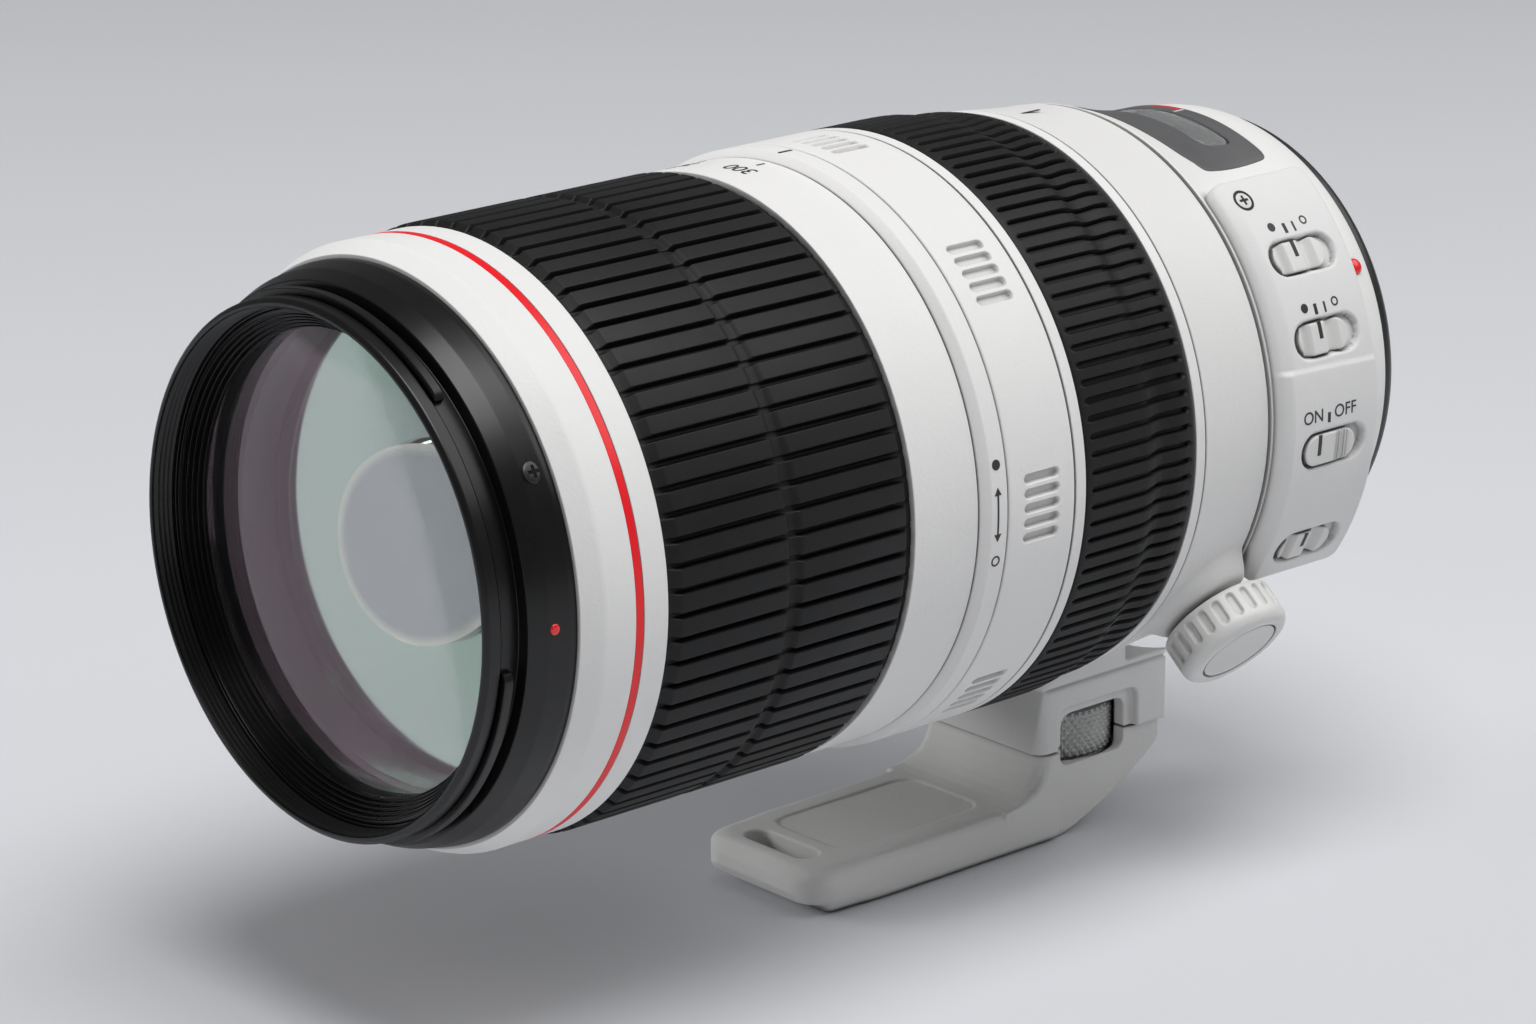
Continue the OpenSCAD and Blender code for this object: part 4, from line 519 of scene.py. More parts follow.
scale_white = surface("scale_white", (0.72, 0.74, 0.72), (0.66, 0.68, 0.66), 0.5, 1500, 4e-6)
scale_green = surface("scale_green", (0.1, 0.42, 0.22), (0.09, 0.38, 0.2), 0.5, 1500, 4e-6)
distances = [("1", -34), ("1.2", -21), ("1.5", -9), ("2", 4), ("3", 17), ("7", 31), ("20", 46)]
piece("distance_metres", "focus_drum", "drum_paint", scale_white,
      joined([printed(text, 2.3, 90 + a, 22.8, 36.83) for text, a in distances]
             + [bar(90 + a, 21.3, 0.25, 0.9, 36.81) for a in range(-40, 56, 8)]))
piece("distance_feet", "focus_drum", "drum_paint", scale_green,
      joined([printed(text, 2.0, 90 + a, 19.7, 36.83)
              for text, a in [("4", -30), ("5", -14), ("7", 1), ("10", 15), ("25", 30), ("70", 46)]]))
piece("window_index", "lens_body", "dark_bezel", scale_white,
      bar(89.2, 16.2, 0.4, 2.2, housing_at(16.2) + 0.2))
piece("window_red", "lens_body", "red_plastic", red_bead,
      layer(np.linspace(90.2, 99, 14), [14.75, 15.9], housing_at(15.0) + 0.2))

# Switch panel: a white moulding glued to the shell, with four oblong slots and a step across it.
# A small cross-head screw holds its upper front corner, and its settings are printed beside the slots.

# Painted shade darkens this finish in narrow gaps and at the foot of steps.
panel_paint = surface("panel_paint", (0.75, 0.746, 0.738), (0.725, 0.721, 0.713), 0.48, 1500, 4e-5, clouds=25,
                      painted_shade=0.7, Specular_IOR_Level=0.45)
slot_angles = {"focus_limit": 33.3, "focus_mode": 16.8, "stabilizer": -5.0, "stabilizer_mode": -27.0}
panel_r, slot_floor, slot_middle = 46.5, 45.4, 27.6


def step(x, low, high):
    t = np.clip((x - low) / (high - low), 0, 1)
    return t * t * (3 - 2 * t)


def oblong(x, y, length, width):
    """Distance from the edge of an oblong with round ends; below zero inside it."""
    return np.hypot(np.maximum(np.abs(x) - (length - width) / 2, 0), y) - width / 2


def rectangle(x, y, half_x, half_y, round_r):
    dx, dy = np.abs(x) - half_x + round_r, np.abs(y) - half_y + round_r
    return np.hypot(np.maximum(dx, 0), np.maximum(dy, 0)) + np.minimum(np.maximum(dx, dy), 0) - round_r


def rounded_grid(half_x, half_y, round_r, pitch):
    """A grid over a rectangle, finer at its edges, whose corners are pushed in to a radius."""
    def lines(half):
        fine = half - np.array([0, 0.06, 0.16, 0.3, 0.5, 0.75, 1.0])
        return np.concatenate([-fine, np.linspace(1.0 - half, half - 1.0, int(2 * half / pitch))[1:-1],
                               fine[::-1]])
    x, y = np.meshgrid(lines(half_x), lines(half_y), indexing="ij")
    dx, dy = np.abs(x) - half_x + round_r, np.abs(y) - half_y + round_r
    inward = np.where((dx > 0) & (dy > 0), np.maximum(dx, dy) / np.maximum(np.hypot(dx, dy), 1e-9), 1.0)
    x = np.where(inward < 1, np.sign(x) * (half_x - round_r + dx * inward), x)
    y = np.where(inward < 1, np.sign(y) * (half_y - round_r + dy * inward), y)
    return x, y


panel_half = (10.6, 35.3)
panel_round, panel_middle, panel_angle = 2.2, 28.0, 8.6
slot_long, slot_wide = 14.4, 5.8
pad_rise, edge_roll, bevel_drop = 0.3, 0.9, 1.5
x, y = rounded_grid(*panel_half, panel_round, 0.2)
s, a = x + panel_middle, panel_angle + np.degrees(y / panel_r)
inside = np.clip(-rectangle(x, y, *panel_half, panel_round), 0, None)
slant = 0.05 * (s - panel_middle)
lower = 1 - step(a, 10.4 + slant, 11.7 + slant)
front = np.clip((panel_half[0] - x) / (2.9 - 1.1 * lower), 0, 1)
ease = np.clip(inside / edge_roll, 0, 1)
height = panel_r + pad_rise * lower - edge_roll * (1 - np.sqrt(1 - (1 - ease) ** 2))
height = height - bevel_drop * (1 - front) ** 1.4
for angle in slot_angles.values():
    gap = oblong(s - slot_middle, np.radians(a - angle) * panel_r, slot_long, slot_wide)
    height = np.minimum(height, slot_floor + np.clip((gap + 0.1) / 0.2, 0, 1) * 3)
    height = height - 0.26 * step(-gap, -0.45, 0.0) * (gap > -0.1)
piece("panel_moulding", "lens_body", "panel_paint", panel_paint,
      plate(around(a, s, height), around(a, s, housing_at(s) - 1.0)), "switch_panel", sharp=50, even=False)


def dot(angle, station, radius, outer_r, inner_r=0.0):
    """A printed round mark, open if it has an inner radius."""
    turns = np.linspace(0, 2 * np.pi, 40, endpoint=False)
    hub = 0.05

    def loop(size, lift):
        angles = angle + np.degrees(size * np.cos(turns) / radius)
        return around(angles, station + size * np.sin(turns), radius + lift)

    if inner_r:
        return wrapped([loop(outer_r, 0), loop(outer_r, ink), loop(inner_r, ink), loop(inner_r, 0)])
    return wrapped([loop(outer_r, 0), loop(outer_r, ink), loop(hub, ink)], closed=False)


mark_black = surface("mark_black", (0.02, 0.02, 0.021), (0.028, 0.028, 0.029), 0.5, 1600, 4e-6)
pad_r = panel_r + pad_rise
marks = [bar(39.2, 28.9, 1.7, 0.65, panel_r), bar(39.2, 26.9, 1.7, 0.38, panel_r),
         bar(22.4, 28.9, 1.7, 0.65, panel_r), bar(22.4, 26.8, 1.7, 0.38, panel_r),
         dot(40.0, 31.6, panel_r, 0.75), dot(40.0, 24.4, panel_r, 0.75, 0.5),
         dot(23.0, 31.3, panel_r, 0.75), dot(23.0, 24.4, panel_r, 0.75, 0.5),
         bar(1.2, 29.1, 1.6, 0.6, pad_r), printed("ON", 2.9, 1.9, 32.7, pad_r, True),
         printed("OFF", 2.9, 1.9, 25.4, pad_r, True)]
piece("panel_marks", "lens_body", "black_plastic", mark_black, joined(marks))


def cross_head(name, body, finish, angle, station, top, radius, replaced=()):
    """A low screw head with a driver's cross sunk in it."""
    x, y = np.meshgrid(np.linspace(-1, 1, 49), np.linspace(-1, 1, 49), indexing="ij")
    squeeze = np.maximum(np.abs(x), np.abs(y)) / np.maximum(np.hypot(x, y), 1e-9)
    x, y = x * squeeze * radius, y * squeeze * radius
    away = np.hypot(x, y) / radius
    arm = np.minimum(rectangle(x, y, 0.58 * radius, 0.15 * radius, 0.05),
                     rectangle(x, y, 0.15 * radius, 0.58 * radius, 0.05))
    height = top - 0.25 * away ** 4 - 0.7 * step(-arm, -0.02, 0.06 * radius)
    out, side = outward(angle)
    spot = x[..., None] * np.array([0, -1.0, 0]) + y[..., None] * side + np.array([0, -station, 0])
    return piece(name, body, "panel_screw" if body == "lens_body" else "black_metal", finish,
                 plate(spot + height[..., None] * out, spot + (height[..., None] * 0 + top - 1.2) * out),
                 *replaced, sharp=40, even=False)


panel_screw_steel = surface("panel_screw_steel", (0.72, 0.71, 0.69), (0.66, 0.65, 0.63), 0.4, 3000, 3e-6)
cross_head("panel_screw_head", "lens_body", panel_screw_steel, 46.8, 34.0, panel_r + 0.12, 1.5,
           ("panel_screw",))
shadow_gap = surface("shadow_gap", (0.02, 0.02, 0.02), (0.028, 0.028, 0.028), 0.8, 2000, 1e-5)
turn = np.linspace(0, 360, 49)[:-1]


def shade_ring(angle, station, base, inner_r, outer_r, lift=0.03):
    """A thin flat ring of painted shade lying on a surface, its axis pointing out from the optical axis."""
    out, side = outward(angle)
    ring = ring_across(side, np.radians(turn))
    centre = out * base + np.array([0, -station, 0])
    low, high = centre - out * 0.2, centre + out * lift
    return wrapped([low + ring * outer_r, high + ring * outer_r, high + ring * inner_r, low + ring * inner_r])


# Painted shade: a dark ring laid on the panel round the screw head, and a dark flat cross over its sunk
# cross.
piece("panel_screw_gap_shade", "lens_body", "dark_bezel", shadow_gap, shade_ring(46.8, 34.0, panel_r, 1.45, 1.9))
cross = [layer(np.linspace(46.8 - np.degrees(u / panel_r), 46.8 + np.degrees(u / panel_r), 3),
               [34 - v, 34 + v], panel_r + 0.08) for u, v in ((0.88, 0.21), (0.21, 0.88))]
piece("panel_screw_cross_shade", "lens_body", "dark_bezel", shadow_gap, joined(cross))

# Slide switches: white moulded knobs that run in the panel's slots, with two finger hollows and a ridge.
# The third is flat, with fine ridges on its rear half; each has a dark line that points at its setting.

# Painted shade darkens this finish in narrow gaps and at the foot of steps.
switch_white = surface("switch_white", (0.72, 0.715, 0.70), (0.69, 0.685, 0.67), 0.42, 1600, 1.2e-5,
                       painted_shade=0.75)
slider_long, slider_wide, slider_middle, slider_foot = 11.3, 5.1, 28.5, 45.45
for name, angle in slot_angles.items():
    ridged = name == "stabilizer"
    top = panel_r + (0.15 if angle > 11 else 0.45)
    across = np.concatenate([[-5.64, -5.59, -5.51, -5.35], np.linspace(-5.15, 5.15, 90),
                             [5.35, 5.51, 5.59, 5.64]])
    straight = (slider_long - slider_wide) / 2
    half = np.sqrt((slider_wide / 2) ** 2 - np.maximum(np.abs(across) - straight, 0) ** 2)
    share = np.sin(np.linspace(-np.pi / 2, np.pi / 2, 31))
    x, y = across[:, None] + 0 * share[None, :], half[:, None] * share[None, :]
    ease = np.clip(-oblong(x, y, slider_long, slider_wide) / 0.35, 0, 1)
    height = top - 0.35 * (1 - np.sqrt(1 - (1 - ease) ** 2))
    for centre, reach, sink in ((-2.6, 2.0, 0.3),) if ridged else ((3.8, 1.2, 0.95), (-2.0, 1.6, 1.0)):
        away = np.clip(np.abs(x - centre) / reach, 0, 1)
        height = height - sink * (0.5 + 0.5 * np.cos(np.pi * away)) ** 0.6
    if ridged:
        from_ridges = x + 2.6
        ridges = step(np.cos(from_ridges / 0.62 * 2 * np.pi), 0.1, 0.8)
        height = height + 0.22 * ridges * (np.abs(from_ridges) < 1.7)
    s, a = slider_middle + x, angle + np.degrees(y / panel_r)
    piece(name + "_knob", name + "_slider", "switch_plastic", switch_white,
          plate(around(a, s, height), around(a, s, slider_foot)), name + "_switch", sharp=50, even=False)
    shift, long = (2.6, 3.4) if ridged else (0.6, 2.7)
    piece(name + "_pointer", name + "_slider", "black_plastic", mark_black,
          bar(angle + np.degrees((2.55 - long / 2) / panel_r), slider_middle + shift, long, 0.8, top - 0.02))

# Tripod collar: an aluminium ring that turns round the body, with a cast boss for its lock knob
# and a saddle block below. Both are ground smooth and painted like the barrel.

knob_angle, knob_station, boss_height = -40.0, 43.4, 2.9
# Painted shade darkens this finish in narrow gaps and at the foot of steps.
grey_paint = surface("grey_paint", (0.757, 0.751, 0.738), (0.732, 0.726, 0.713), 0.5, 1500, 6e-5, clouds=25,
                     painted_shade=0.6, Specular_IOR_Level=0.45)
collar_rear, collar_front, collar_inner = 39.53, 55.37, 42.55
rear_roll, front_roll = 1.2, 0.3
angles = np.concatenate([np.arange(-75, -5, 0.5), np.arange(-5, 285, 1.25)])
outer_stations = np.concatenate([collar_rear + rear_roll * (1 - np.cos(np.linspace(0, np.pi / 2, 10))),
                                 np.linspace(41.0, 54.8, 40),
                                 collar_front - front_roll * np.linspace(1, 0, 6)])


def rolled(distance, reach):
    """Drop of an edge that is rounded over a reach, at a distance from it."""
    return reach - np.sqrt(np.maximum(reach ** 2 - np.maximum(reach - distance, 0) ** 2, 0))


def collar_radius(station, angle):
    away = np.hypot(np.radians(angle - knob_angle) * 46.5, station - knob_station)
    boss = boss_height * (1 - step(away, 7.0, 11.5))
    band = 44.15 + 1.25 * np.clip((station - 41.5) / 13.87, 0, 1) ** 1.25
    return band + boss - rolled(station - collar_rear, rear_roll) - rolled(collar_front - station, front_roll)


rows = [around(angles, v, collar_radius(v, angles)) for v in outer_stations]
rows += [around(angles, v, collar_inner) for v in (collar_front, collar_rear)]
piece("collar_band", "collar", "white_paint", grey_paint, wrapped(rows), sharp=40)


def cast(name, source, cut=None):
    """A copy of a plain solid, cut off by a plane if one is given, to be grown into a casting."""
    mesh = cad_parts[source].data.copy()
    made = linked(name, mesh)
    work = bmesh.new()
    work.from_mesh(mesh)
    bmesh.ops.remove_doubles(work, verts=work.verts, dist=1e-6)
    if cut:
        plane, normal = cut
        bmesh.ops.bisect_plane(work, geom=work.verts[:] + work.edges[:] + work.faces[:], dist=1e-7,
                               plane_co=plane, plane_no=normal, clear_outer=True)
        bmesh.ops.holes_fill(work, edges=[e for e in work.edges if e.is_boundary], sides=0)
    work.to_mesh(mesh)
    work.free()
    return made


def settle(made, body, slot, finish, voxel, rounds, *replaced):
    """Turns a plain solid into a soft-edged casting: filled with small voxels, then smoothed."""
    remesh = made.modifiers.new("cast", "REMESH")
    remesh.mode = "VOXEL"
    remesh.voxel_size = voxel * MM
    smooth = made.modifiers.new("ground", "SMOOTH")
    smooth.factor = 0.5
    smooth.iterations = rounds
    final = final_mesh(made)
    made.modifiers.clear()
    made.data = final
    final.name = made.name
    final.materials.clear()
    final.materials.append(finish)
    final.shade_smooth()
    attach(made, body)
    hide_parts(*replaced)


def carve(made, shape):
    """Takes a closed shape out of a solid."""
    points, faces = shape
    tool = linked("tool", bpy.data.meshes.new("tool"))
    tool.data.from_pydata((np.asarray(points) * MM).tolist(), [], faces)
    hollow = made.modifiers.new("tool", "BOOLEAN")
    hollow.object = tool
    hollow.operation = "DIFFERENCE"
    hollow.solver = "EXACT"
    made.data = final_mesh(made)
    made.modifiers.clear()
    bpy.data.objects.remove(tool)


block = cast("saddle_block", "tripod_collar", cut=((0, 0, -0.0415), (0, 0, 1)))
carve(block, wrapped([around(np.arange(0, 360, 2.0), v, 43.4) for v in (38.0, 57.0)], closed=False))
wide_loop, tight_loop, slit_low, slit_high = (14.5, 29.5, 59.7), (13.1, 31.0, 58.2), -47.0, -46.3
frames = [(wide_loop, slit_low), (wide_loop, slit_high), (tight_loop, slit_high), (tight_loop, slit_low)]
loops = [np.array([(w, -b, z), (w, -f, z), (-w, -f, z), (-w, -b, z)]) for (w, b, f), z in frames]
carve(block, wrapped(loops))
half_block, beyond = 14, 15
for side in (-1, 1):
    for station, way, r in ((59.1, 1, 2.5), (30.1, -1, 1.5)):
        turn = np.linspace(0, np.pi / 2, 9)
        bend = np.stack([half_block - r + r * np.cos(turn), station + way * (r * np.sin(turn) - r)], 1)
        plan = np.concatenate([[(beyond, station + way), (beyond, station - way * r)], bend,
                               [(half_block - r, station + way)]])
        ends = [np.stack([side * plan[:, 0], -plan[:, 1], np.full(len(plan), z)], 1) for z in (-60, -40)]
        carve(block, wrapped(ends, closed=False))
settle(block, "collar", "white_paint", grey_paint, 0.26, 3, "tripod_collar")
piece("collar_index", "collar", "black_plastic", mark_black,
      bar(90, 50.5, 0.55, 6.2, collar_radius(50.5, 90) + 0.05))

# Lock knob: a moulded knob with oblong finger recesses, on a steel screw that presses on the body.
# A thin disc closes its face, set in with a narrow gap.

# Painted shade darkens this finish in narrow gaps and at the foot of steps.
knob_white = surface("knob_white", (0.70, 0.695, 0.68), (0.67, 0.665, 0.65), 0.44, 1700, 1.6e-5, painted_shade=0.6)
cap_grey = surface("cap_grey", (0.66, 0.655, 0.64), (0.63, 0.625, 0.61), 0.36, 1900, 8e-6)


knob_foot, knob_r, recesses = 48.1, 9.5, 22


def on_knob(turn, reach, height):
    """Points about the knob's own axis, which points out from the optical axis."""
    out, side = outward(knob_angle)
    centre = out * (knob_foot + height) + np.array([0, -knob_station, 0])
    return ring_across(side, turn) * np.reshape(reach, (-1, 1)) + centre


turns = np.linspace(0, 2 * np.pi, recesses * 24, endpoint=False)
recess_across = (np.mod(turns / (2 * np.pi) * recesses, 1) - 0.5) * 2 * np.pi * knob_r / recesses
outline = [(0.0, 6.0), (0.0, 8.7), (0.12, 9.15), (0.4, 9.42), (0.7, knob_r)]
outline += [(h, knob_r) for h in np.linspace(0.9, 5.2, 22)]
outline += [(5.28 + 2 * sin(t), 7.5 + 2 * cos(t)) for t in np.linspace(0.08, 1.5, 9)]
outline += [(7.28, 7.0), (7.22, 6.85), (7.05, 6.78), (6.4, 6.78), (6.4, 3.0)]
rows = []
for h, r in outline:
    gap = oblong(h - 3.0, recess_across, 4.1, 1.5)
    sink = 0.55 * step(-gap, -0.12, 0.3) if r > 9.2 else 0
    rows.append(on_knob(turns, r - sink, h))
piece("knob_grip", "knob", "knob_plastic", knob_white, wrapped(rows, closed=False), "lock_knob", sharp=45,
      even=False)
rows = [on_knob(turns[::4], r, h)
        for h, r in [(6.3, 6.5), (7.05, 6.5), (7.16, 6.44), (7.2, 6.3), (7.22, 4.5), (7.22, 2.0),
                     (7.22, 0.1)]]
piece("knob_disc", "knob", "cap_plastic", cap_grey, wrapped(rows, closed=False), "lock_knob_cap")

# Tripod foot: cast and machined aluminium with soft edges, painted like the collar.
# A screw through its knurled thumb wheel holds it under the saddle; a strap passes through its front end.

# Painted shade darkens this finish in narrow gaps and at the foot of steps.
foot_paint = surface("foot_paint", (0.745, 0.738, 0.724), (0.72, 0.713, 0.699), 0.5, 1300, 8e-5, clouds=25,
                     painted_shade=0.6, Specular_IOR_Level=0.45)
foot = cast("foot_casting", "tripod_foot")
settle(foot, "foot", "foot_paint", foot_paint, 0.28, 3, "tripod_foot")
spots = np.array([v.co for v in foot.data.vertices]) / MM
x, s, z = spots[:, 0], -spots[:, 1], spots[:, 2]
seam_z, hollow_r, arm_top, half_arm, edge_r = -57.725, 7.275, -65, 14, 2.5
stem_face = 65.375 - np.sqrt(np.maximum(hollow_r ** 2 - (z - seam_z) ** 2, 0))
u, v = np.abs(x) - (half_arm - edge_r), s - stem_face + edge_r
round_off = (u > 0) & (v > 0) & (v < edge_r + 0.4) & (z > arm_top)
pull = 1 - np.maximum(u, v) / np.maximum(np.hypot(u, v), 1e-9)
inward = 1 - np.where(round_off, pull * np.clip((z - arm_top) / 2, 0, 1), 0)
x = np.where(round_off, np.sign(x) * (half_arm - edge_r + u * inward), x)
s = np.where(round_off, stem_face - edge_r + v * inward, s)
arm_middle, half_long, toe_r, arm_z, taper = 60, 48.1, 6, -68.4, 3.4
edge = np.clip(-rectangle(x, s - arm_middle, half_arm, half_long, toe_r) / taper, 0, 1)
pinch = step(s, 92, 103) * 0.5 * (1 - np.sqrt(1 - (1 - edge) ** 2))
z = arm_z + (z - arm_z) * (1 - pinch)
foot.data.vertices.foreach_set("co", (np.stack([x, -s, z], 1) * MM).ravel())
foot.data.update()
wheel_station, wheel_r, wheel_low, wheel_high = 44.4, 11.35, -61.6, -53.6
# Painted shade darkens this finish in its knurl grooves and narrow gaps.
knurled = surface("knurled_steel", (0.70, 0.70, 0.69), (0.62, 0.62, 0.61), 0.42, 3000, 3e-6, painted_shade=0.5,
                  Metallic=0.4)
turns = np.linspace(0, 2 * np.pi, 864, endpoint=False)
heights = np.concatenate([[0.0, 0.25, 0.6], np.linspace(0.7, 7.3, 60), [7.4, 7.75, 8.0]])
rim = np.stack([np.cos(turns), np.sin(turns), 0 * turns], 1)
middle = np.array([0, -wheel_station, 0])
teeth, lead, stem_r = 50, 1.6, 3
rows = [middle + rim * stem_r + (0, 0, z) for z in (wheel_low - 2.8, wheel_low)]
for h in heights:
    ease = step(min(h, 8 - h), 0.0, 0.7)
    one, two = (np.abs(np.mod(turns * teeth / (2 * np.pi) + way * h / lead, 1) - 0.5) * 2 for way in (1, -1))
    r = wheel_r - 0.5 * (1 - ease) - 0.65 * (0.25 < ease) * np.maximum(one, two)
    rows.append(middle + rim * r[:, None] + (0, 0, wheel_low + h))
rows += [middle + rim * stem_r + (0, 0, z) for z in (wheel_high, wheel_high + 6.4)]
piece("wheel_knurl", "wheel", "knurled_metal", knurled, wrapped(rows, closed=False), "thumb_wheel", sharp=60,
      even=False)

# Focus ring: a painted metal ring under a moulded rubber sleeve with a waist and 108 fine ribs.
# The ring's two white rims hold the sleeve in place.

# Painted shade darkens this rubber in its grooves and narrow gaps.
rubber = surface("grip_rubber", (0.007, 0.007, 0.0074), (0.010, 0.010, 0.0105), 0.55, 2600, 1.2e-5, dust=0.01,
                 painted_shade=0.8, Specular_IOR_Level=0.28)
piece("focus_rims", "focus_control", "white_paint", white_paint, turned(
    [(55.63, 42.6), (55.63, 45.4), (57.6, 45.4), (57.6, 44.3), (75.5, 44.3), (76.5, 45.9), (83.2, 45.9),
     (83.2, 47.0), (85.27, 47.0), (85.27, 45.25), (76.5, 45.25), (76.5, 42.6)]), "focus_ring")
ribs, sleeve_from, sleeve_to = 108, 57.72, 83.18
offsets = np.array([-0.5, -0.42, -0.34, -0.28, -0.22, -0.16, -0.1, 0.0, 0.1, 0.16, 0.22, 0.28, 0.34, 0.42])
angles = np.concatenate([(k + offsets) * 360 / ribs for k in range(ribs)])
across = np.tile(offsets, ribs) * 2 * np.pi * 46.5 / ribs
stations = np.concatenate([sleeve_from + np.array([0, 0.12, 0.35, 0.7]), np.linspace(58.8, 82.1, 60),
                           sleeve_to - np.array([0.7, 0.35, 0.12, 0])])
line_s = sleeve_from + 25.5 * np.array([0, 0.02, 0.05, 0.12, 0.18, 0.26, 0.31, 0.36, 0.43, 0.48, 0.6, 0.95,
                                        0.985, 1.0])
line_r = np.array([44.9, 45.45, 45.7, 46.0, 46.05, 45.8, 45.7, 45.95, 46.8, 47.0, 47.05, 47.05, 46.9, 46.4])
rows = []
for v in stations:
    groove = 0.95 * step(-oblong(v - 70.45, across, 22.6, 0.95), -0.1, 0.26)
    rows.append(around(angles, v, np.interp(v, line_s, line_r) - groove))
bore_line = [(sleeve_to, 45.9), (76.5, 45.9), (75.5, 44.3), (sleeve_from, 44.3)]
rows += [around(angles, v, r) for v, r in bore_line]
piece("focus_sleeve", "focus_control", "grip_rubber", rubber, wrapped(rows), "focus_grip", sharp=60,
      even=False)

# Tension ring: a painted metal ring that sets how stiffly the zoom turns.
# Groups of milled slots all round it give the fingers a hold.

groups, per_group, pitch = 8, 5, 2.8
tension_rear, tension_front, tension_r, tension_edge = 85.53, 99.37, 47.0, 0.4
angles = [np.array([0.0])]
for g in range(groups):
    middle_a = g * 360 / groups
    for k in range(per_group):
        angles.append(middle_a + (k - 2) * pitch + np.linspace(-1.35, 1.35, 20))
    angles.append(middle_a + np.linspace(8.5, 45 - 8.5, 16))
angles = np.unique(np.round(np.mod(np.concatenate(angles), 360), 3))
edge_steps = np.array([0, 0.06, 0.2, tension_edge])
stations = np.concatenate([tension_rear + edge_steps, [86.5, 88.4], np.linspace(88.7, 96.2, 40), [96.5, 98.4],
                           tension_front - edge_steps[::-1]])
rows = []
for v in stations:
    r = np.full_like(angles, tension_r - rolled(min(v - tension_rear, tension_front - v), tension_edge))
    for g in range(groups):
        for k in range(per_group):
            turn_by = np.mod(angles - g * 45 - (k - 2) * pitch + 180, 360) - 180
            near = np.abs(turn_by) < 1.6
            gap = oblong(v - 92.45, np.radians(turn_by[near]) * tension_r, 7.2, 1.6)
            r[near] -= 0.85 * step(-gap, -0.06, 0.24)
    rows.append(around(angles, v, r))
rows += [around(angles, v, 45.25) for v in (tension_front, tension_rear)]
piece("tension_band", "tension_control", "white_paint", white_paint, wrapped(rows), "tension_ring", sharp=50,
      even=False)

# Index ring: a fixed painted ring, chamfered towards the zoom ring.
# It carries the printed marks for both its neighbours.

piece("index_band", "lens_body", "white_paint", white_paint, turned(
    [(99.63, 45.02), (99.63, 47.0), (102.9, 47.0), (104.25, 45.75), (104.25, 45.02)], 0.22), "index_ring")


def arrow(angle, station, radius, long, direction):
    """An arrow's shaft and head along a ring, its length in millimetres."""
    turn_by = np.degrees(long / radius)
    back = angle + direction * turn_by
    tip = angle + direction * (turn_by + np.degrees(1.2 / radius))
    shaft = layer(np.linspace(angle, back, 12), [station - 0.16, station + 0.16], radius)
    barbs = station + np.array([0, 0.7, -0.7])
    points = np.concatenate([around([tip, back, back], barbs, radius + lift) for lift in (0.0, ink)])
    return [shaft, (points, [[0, 1, 2], [3, 4, 5], [0, 1, 4, 3], [1, 2, 5, 4], [2, 0, 3, 5]])]


marks = [dot(9.8, 101.6, 47.0, 0.8), dot(-8.4, 101.6, 47.0, 0.85, 0.6), bar(90, 101.6, 0.55, 2.6, 47.0)]
marks += arrow(0.5, 101.6, 47.0, 3.0, 1) + arrow(0.5, 101.6, 47.0, 3.0, -1)
piece("index_marks", "lens_body", "black_plastic", mark_black, joined(marks))

# Zoom ring: a painted metal ring with its focal lengths printed behind the grip.
# A moulded rubber sleeve with two rows of 78 wide ribs is stretched over it.

piece("zoom_band", "zoom_control", "white_paint", white_paint, turned(
    [(104.55, 43.7), (104.55, 45.8), (117.3, 45.8), (117.3, 44.2), (164.35, 44.2), (164.35, 42.5),
     (104.55, 42.5)]),
    "zoom_ring")
lengths = [("100", 141), ("135", 124), ("200", 107), ("300", 90)]
piece("focal_lengths", "zoom_control", "black_plastic", mark_black,
      joined([printed(text, 4.0, angle, 110.6, 45.8) for text, angle in lengths]
             + [bar(angle, 106.6, 0.4, 1.6, 45.8) for text, angle in lengths]))
ribs, top, floor = 78, 46.0, 44.75
offsets = np.array([-0.5, -0.3, -0.2, -0.175, -0.15, -0.125, -0.1, -0.08, -0.05, 0.0, 0.05, 0.08, 0.1, 0.125,
                    0.15, 0.175, 0.2, 0.3])
angles = np.concatenate([(k + 0.5 + offsets) * 360 / ribs for k in range(ribs)])
across = np.abs(np.tile(offsets, ribs)) * 2 * np.pi * 46 / ribs
rib = step(across, 0.24, 0.58)
stops = np.array([117.35, 117.45, 118.15, 118.4, 119.2, 119.5, 139.2, 139.6, 140.0, 140.3, 141.5, 141.8,
                  142.2, 142.6, 162.2, 162.5, 163.3, 163.55, 164.25, 164.35])
height = np.array([0.0, 0.15, 0.15, 0.2, 0.9, 1.0, 1.0, 0.95, 0.55, 0.45, 0.45, 0.55, 0.95, 1.0, 1.0, 0.9,
                   0.2, 0.15, 0.15, 0.0])
rows = []
for v, h in zip(stops, height):
    web = 0.15 if h < 0.6 and 139 < v < 143 else 0
    rows.append(around(angles, v, floor + (top - floor) * np.minimum(h, np.maximum(rib * h, web))))
rows += [around(angles, v, 44.2) for v in (stops[-1], stops[0])]
piece("zoom_sleeve", "zoom_control", "grip_rubber", rubber, wrapped(rows), "zoom_grip", sharp=60, even=False)

# Front ring: a painted metal ring on the moving barrel, chamfered at its front.
# A red ring is let into a groove round it.

piece("front_band", "front_barrel", "white_paint", white_paint, turned(
    [(164.63, 42.25), (164.63, 45.5), (169.05, 45.5, 0.12), (169.15, 44.6, 0.08), (170.6, 44.6, 0.08),
     (170.6, 45.5, 0.08), (176.1, 45.5, 0.5), (179.45, 43.95, 0.12), (179.45, 42.25)]), "front_ring")
red_line = surface("red_line", (0.86, 0.004, 0.012), (0.80, 0.004, 0.010), 0.36, 1600, 4e-6)
piece("red_inlay", "front_barrel", "red_line", red_line, turned(
    [(169.22, 44.5), (169.22, 45.52), (170.59, 45.52), (170.59, 44.5)], 0.1), "red_trim_ring")
